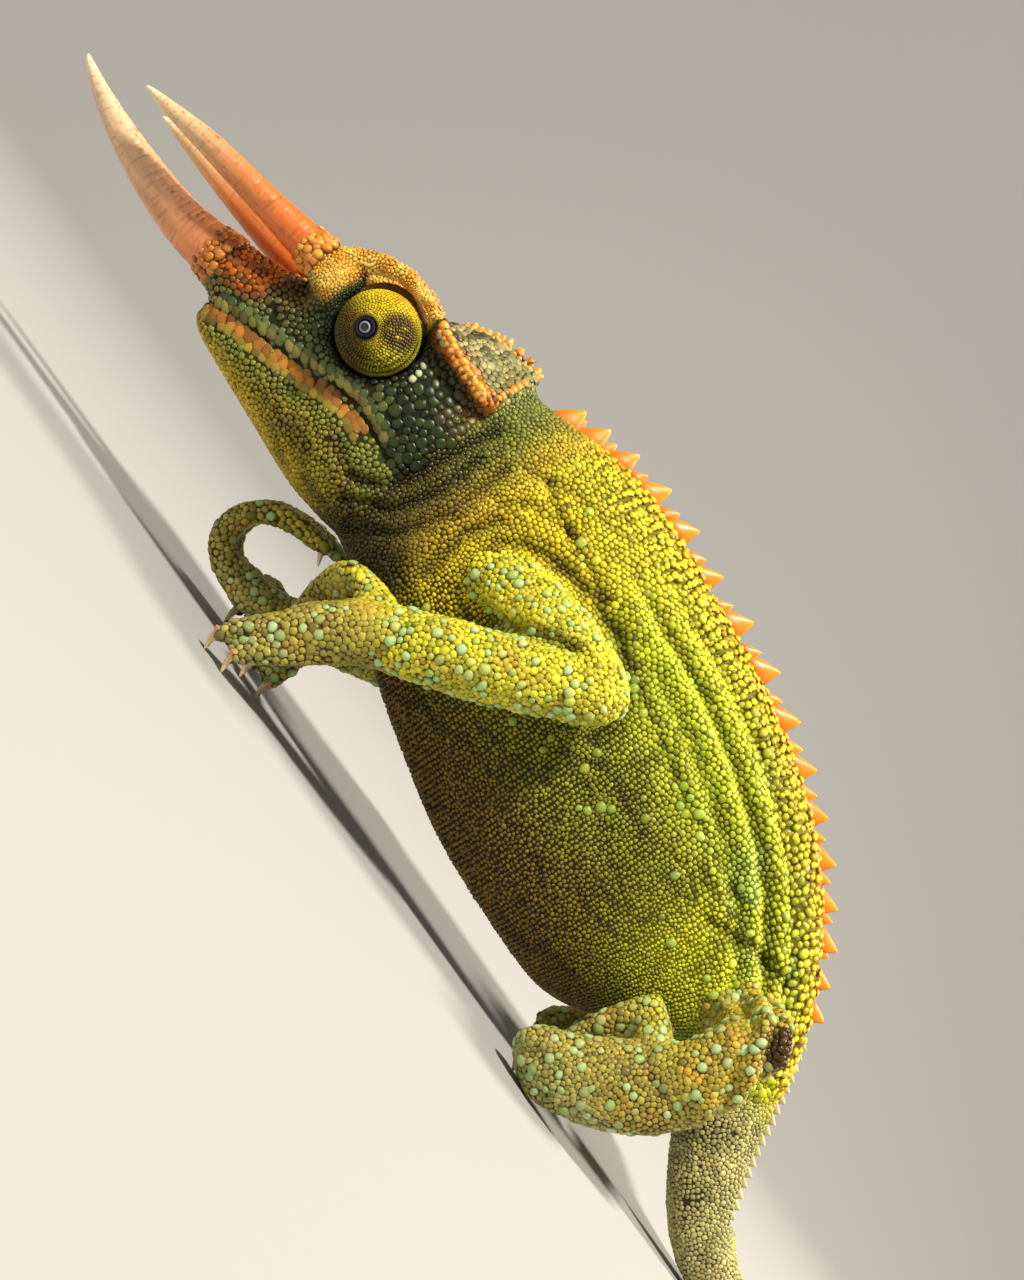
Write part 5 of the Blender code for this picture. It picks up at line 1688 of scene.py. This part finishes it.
def spine_places():
    """Where the large teeth stand: widest apart over the shoulder, closer to both ends."""
    places = [SPINE_START]
    while places[-1] < SPINE_END:
        away = places[-1] - SPINE_WIDEST
        closing = CLOSING_AHEAD if away < 0 else CLOSING_BEHIND
        places.append(places[-1] + SPINE_SPACING - closing * away * away)
    return places[:-1]


def tooth(x, size, codes, draw):
    """One shark-fin tooth: ellipses that shrink upward and lean back to a blunt point."""
    ground = np.array([x, 0.0, back_height(x) - TOOTH_ROOT])
    behind = np.array([x + 1.0, 0.0, back_height(x + 1.0) - TOOTH_ROOT])
    along = unit(behind - ground)
    outward = np.array([-along[2], 0.0, along[0]])
    across = np.array([0.0, 1.0, 0.0])
    rise, *shape = np.transpose(TOOTH_ROWS)
    length, wide, lean = np.array(shape) * size
    turn = circle(TOOTH_SIDES)
    middle = ground + outward * (rise * TOOTH_HEIGHT * size)[:, None] + along * lean[:, None]
    points = (
        middle[:, None]
        + along * (np.cos(turn) * length[:, None])[..., None]
        + across * (np.sin(turn) * wide[:, None])[..., None]
    )
    points = points + draw.normal(0, 0.03, points.shape) * size
    tint = between(*codes, np.repeat(rise.clip(0, 1), TOOTH_SIDES)) * draw.uniform(0.88, 1.08)
    return points.reshape(-1, 3), grid_faces(len(rise), TOOTH_SIDES), tint


def build_spines():
    """The back's crest: pairs of orange teeth, then small pale ones down to the tail."""
    draw = np.random.default_rng(SEEDS["back_crest"])
    orange = ("#DC7606", "#F0A01C")
    teeth = []
    for place in spine_places():
        fading = 1.0 - 0.28 * max(0.0, (place - 35.0) / 30.0)
        teeth += [(place - ahead, share * fading, orange) for ahead, share in TOOTH_PAIR]
    x = np.linspace(SMALL_START, SMALL_END, 200)
    run = run_along(np.column_stack([x, back_height(x)]))
    for place in np.interp(np.arange(0, run[-1], SMALL_APART), run, x):
        teeth.append((place, SMALL_SIZE, ("#A79F66", "#D2CBA0")))
    shapes = [
        tooth(x, size * draw.uniform(0.9, 1.08), codes, draw)
        for x, size, codes in teeth
        if x >= CREST_FRONT
    ]
    close_ends(mesh_piece("back_crest", *merged(shapes), crest_keratin(), "scaly_skin"))


# Claws


CLAW_SIDES = 12


def claw(root, tip):
    """A curved claw: circles that shrink along an arc from inside the toe to a point."""
    back = root + (root - tip) * 0.35
    middle = (root + tip) / 2 + (-0.25, 0.0, 0.3)
    path = smooth_rows([back, root, middle, tip], 5)
    share = np.linspace(0, 1, len(path))
    points = swept(path, 0.82 * (1 - share) ** 0.7 + 0.07, CLAW_SIDES)
    points[:, 2] = np.maximum(points[:, 2], 0.0)
    tint = between("#D89A6A", "#F6DDB4", np.repeat(share, CLAW_SIDES))
    return points, grid_faces(len(path), CLAW_SIDES), tint


def build_claws():
    """The claws of all four feet in one piece."""
    shapes = [claw(root, tip) for root, tip in claw_pairs()]
    close_ends(mesh_piece("claws", *merged(shapes), claw_keratin(), "horn"))


# The stage, the camera and the lights


# The floor's front edge and where it bends (y), the bend's radius, and half its width.
FLOOR_FRONT, FLOOR_BEND, BEND_RADIUS, FLOOR_HALF = -1500.0, 330.0, 320.0, 2600.0


def build_stage():
    """A pale floor that curves up behind the animal: one profile carried sideways."""
    turn = np.linspace(0, math.pi / 2, 24)
    y = FLOOR_BEND + BEND_RADIUS * np.sin(turn)
    z = BEND_RADIUS - BEND_RADIUS * np.cos(turn)
    profile = [(FLOOR_FRONT, 0.0), *zip(y, z), (y[-1], FLOOR_HALF)]
    points = np.array([[x, *place] for place in profile for x in (-FLOOR_HALF, FLOOR_HALF)])
    rows = np.arange(len(profile) - 1) * 2
    faces = np.column_stack([rows, rows + 1, rows + 3, rows + 2])
    mesh = bpy.data.meshes.new("studio_floor")
    mesh.from_pydata((points * MM).tolist(), [], faces.tolist())
    mesh.polygons.foreach_set("use_smooth", [True] * len(mesh.polygons))
    material, _, shader = new_material("matt_paper_sweep")
    shader.inputs["Base Color"].default_value = (*linear("#A2A3A5"), 1.0)
    shader.inputs["Roughness"].default_value = 0.85
    mesh.materials.append(material)
    floor = bpy.data.objects.new("studio_floor", mesh)
    bpy.context.scene.collection.objects.link(floor)


def add_light(name, place, aim, size, power, code):
    """A soft square lamp at a place in millimetres, turned to its aim."""
    lamp = bpy.data.lights.new(name, "AREA")
    lamp.size = size * MM
    lamp.energy = power
    lamp.color = linear(code)
    holder = bpy.data.objects.new(name, lamp)
    place = (np.array(place) - MIDDLE) * MM
    aim = (np.array(aim) - MIDDLE) * MM
    holder.location = place
    holder.rotation_euler = Vector(aim - place).to_track_quat("-Z", "Y").to_euler()
    bpy.context.scene.collection.objects.link(holder)


def build_lights():
    """Warm key from above and ahead, cool fill from the camera's side, rim from behind."""
    bpy.context.scene.view_settings.view_transform = "Standard"
    add_light("key", (-60, -440, 820), (0, 0, 30), 110, 12.6, "#FFF3E2")
    add_light("fill", (-320, -420, 120), (0, 0, 30), 500, 0.4, "#F4F6FF")
    add_light("rim", (330, 60, 420), (20, 0, 35), 110, 3.2, "#FFF2DC")
    world = bpy.data.worlds.new("studio_air")
    world.use_nodes = True
    world.node_tree.nodes["Background"].inputs["Color"].default_value = (1.0, 0.96, 0.86, 1)
    world.node_tree.nodes["Background"].inputs["Strength"].default_value = 0.2
    bpy.context.scene.world = world


def build_camera():
    """Looks level along +y from the animal's left, rolled as the photo was held."""
    data = bpy.data.cameras.new("camera")
    data.lens = CAMERA_LENS
    data.sensor_width = 36.0
    data.clip_start = 0.005
    holder = bpy.data.objects.new("camera", data)
    s, c = math.sin(CAMERA_ROLL), math.cos(CAMERA_ROLL)
    x, y, z = (-MIDDLE[0] * MM, -CAMERA_DISTANCE * MM, CAMERA_HEIGHT * MM)
    holder.matrix_world = Matrix(((c, -s, 0, x), (0, 0, -1, y), (s, c, 0, z), (0, 0, 0, 1)))
    bpy.context.scene.collection.objects.link(holder)
    bpy.context.scene.camera = holder


# The add-on


class ChameleonSizes(bpy.types.PropertyGroup):
    flank_scale: bpy.props.FloatProperty(
        name="Flank Scale", description="Pitch of the scales on the flank",
        default=0.86 * MM, min=0.6 * MM, max=3 * MM, precision=5, unit="LENGTH",
    )
    limb_scale: bpy.props.FloatProperty(
        name="Limb Scale", description="Pitch of the small scales on the legs",
        default=0.9 * MM, min=0.5 * MM, max=3 * MM, precision=5, unit="LENGTH",
    )
    tubercle_share: bpy.props.FloatProperty(
        name="Tubercles", description="Share of the legs' scales that are large and pale",
        default=0.11, min=0.0, max=0.5, subtype="FACTOR",
    )


def colour_property(name, description, code):
    """A colour of the panel that starts as an sRGB hex colour."""
    return bpy.props.FloatVectorProperty(
        name=name, description=description, default=tuple(linear(code)), size=3,
        min=0.0, max=1.0, subtype="COLOR",
    )


class ChameleonColours(bpy.types.PropertyGroup):
    # The flank's olive and the belly's tan are partly painted shade, darker below.
    back: colour_property("Back", "Yellow-green of the back", "#B2AC1C")
    flank: colour_property("Flank", "Olive green of the flank", "#828418")
    belly: colour_property("Belly", "Tan of the belly", "#6C561A")


class CHAMELEON_OT_stage(bpy.types.Operator):
    """Pale floor, soft lamps and the camera at the photo's angle"""

    bl_idname = "chameleon.stage"
    bl_label = "Stage"

    def execute(self, context):
        build_camera()
        build_stage()
        build_lights()
        return {"FINISHED"}


class CHAMELEON_OT_skin(bpy.types.Operator):
    """One skin over the whole body, in place of the flesh solids"""

    bl_idname = "chameleon.skin"
    bl_label = "Skin"

    def execute(self, context):
        points, faces = thinned(skin().points, skin().faces, SKIN_TRIANGLES)
        tint = gap_tint(points, skin().parts(points))
        piece = mesh_piece("skin", points, faces, tint, interscale_skin(), "scaly_skin")
        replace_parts(piece, *FLESH_NODES)
        return {"FINISHED"}


class CHAMELEON_OT_scales(bpy.types.Operator):
    """Bead scales over the skin"""

    bl_idname = "chameleon.scales"
    bl_label = "Scales"

    def execute(self, context):
        build_scales(skin())
        return {"FINISHED"}


class CHAMELEON_OT_head_crests(bpy.types.Operator):
    """Orange cone scales over the eyes and round the casque"""

    bl_idname = "chameleon.head_crests"
    bl_label = "Head Crests"

    def execute(self, context):
        build_head_crests(skin())
        return {"FINISHED"}


class CHAMELEON_OT_eyes(bpy.types.Operator):
    """Turrets of fused lids with their small round eyes"""

    bl_idname = "chameleon.eyes"
    bl_label = "Eyes"

    def execute(self, context):
        build_eyes()
        return {"FINISHED"}


class CHAMELEON_OT_horns(bpy.types.Operator):
    """The nose horn and the two brow horns"""

    bl_idname = "chameleon.horns"
    bl_label = "Horns"

    def execute(self, context):
        build_horns()
        return {"FINISHED"}


class CHAMELEON_OT_back_crest(bpy.types.Operator):
    """Orange teeth along the back"""

    bl_idname = "chameleon.back_crest"
    bl_label = "Back Crest"

    def execute(self, context):
        build_spines()
        return {"FINISHED"}


class CHAMELEON_OT_claws(bpy.types.Operator):
    """Claws of all four feet"""

    bl_idname = "chameleon.claws"
    bl_label = "Claws"

    def execute(self, context):
        build_claws()
        return {"FINISHED"}


OPERATORS = (
    CHAMELEON_OT_stage,
    CHAMELEON_OT_skin,
    CHAMELEON_OT_scales,
    CHAMELEON_OT_head_crests,
    CHAMELEON_OT_eyes,
    CHAMELEON_OT_horns,
    CHAMELEON_OT_back_crest,
    CHAMELEON_OT_claws,
)


class CHAMELEON_PT_panel(bpy.types.Panel):
    """Lists the build steps with the sizes and colours they use"""

    bl_idname = "CHAMELEON_PT_panel"
    bl_label = "Chameleon"
    bl_space_type = "VIEW_3D"
    bl_region_type = "UI"
    bl_category = "Chameleon"

    def draw(self, context):
        for name in ("flank_scale", "limb_scale", "tubercle_share"):
            self.layout.prop(context.scene.chameleon_sizes, name)
        for name in ("back", "flank", "belly"):
            self.layout.prop(context.scene.chameleon_colours, name)
        for operator in OPERATORS:
            self.layout.operator(operator.bl_idname)


CLASSES = (ChameleonSizes, ChameleonColours, *OPERATORS, CHAMELEON_PT_panel)


def register():
    for each in CLASSES:
        bpy.utils.register_class(each)
    bpy.types.Scene.chameleon_sizes = bpy.props.PointerProperty(type=ChameleonSizes)
    bpy.types.Scene.chameleon_colours = bpy.props.PointerProperty(type=ChameleonColours)


def unregister():
    del bpy.types.Scene.chameleon_colours
    del bpy.types.Scene.chameleon_sizes
    for each in reversed(CLASSES):
        bpy.utils.unregister_class(each)


def main():
    register()
    for operator in OPERATORS:
        name = operator.bl_idname.split(".")[1]
        getattr(bpy.ops.chameleon, name)()


if __name__ == "__main__":
    main()
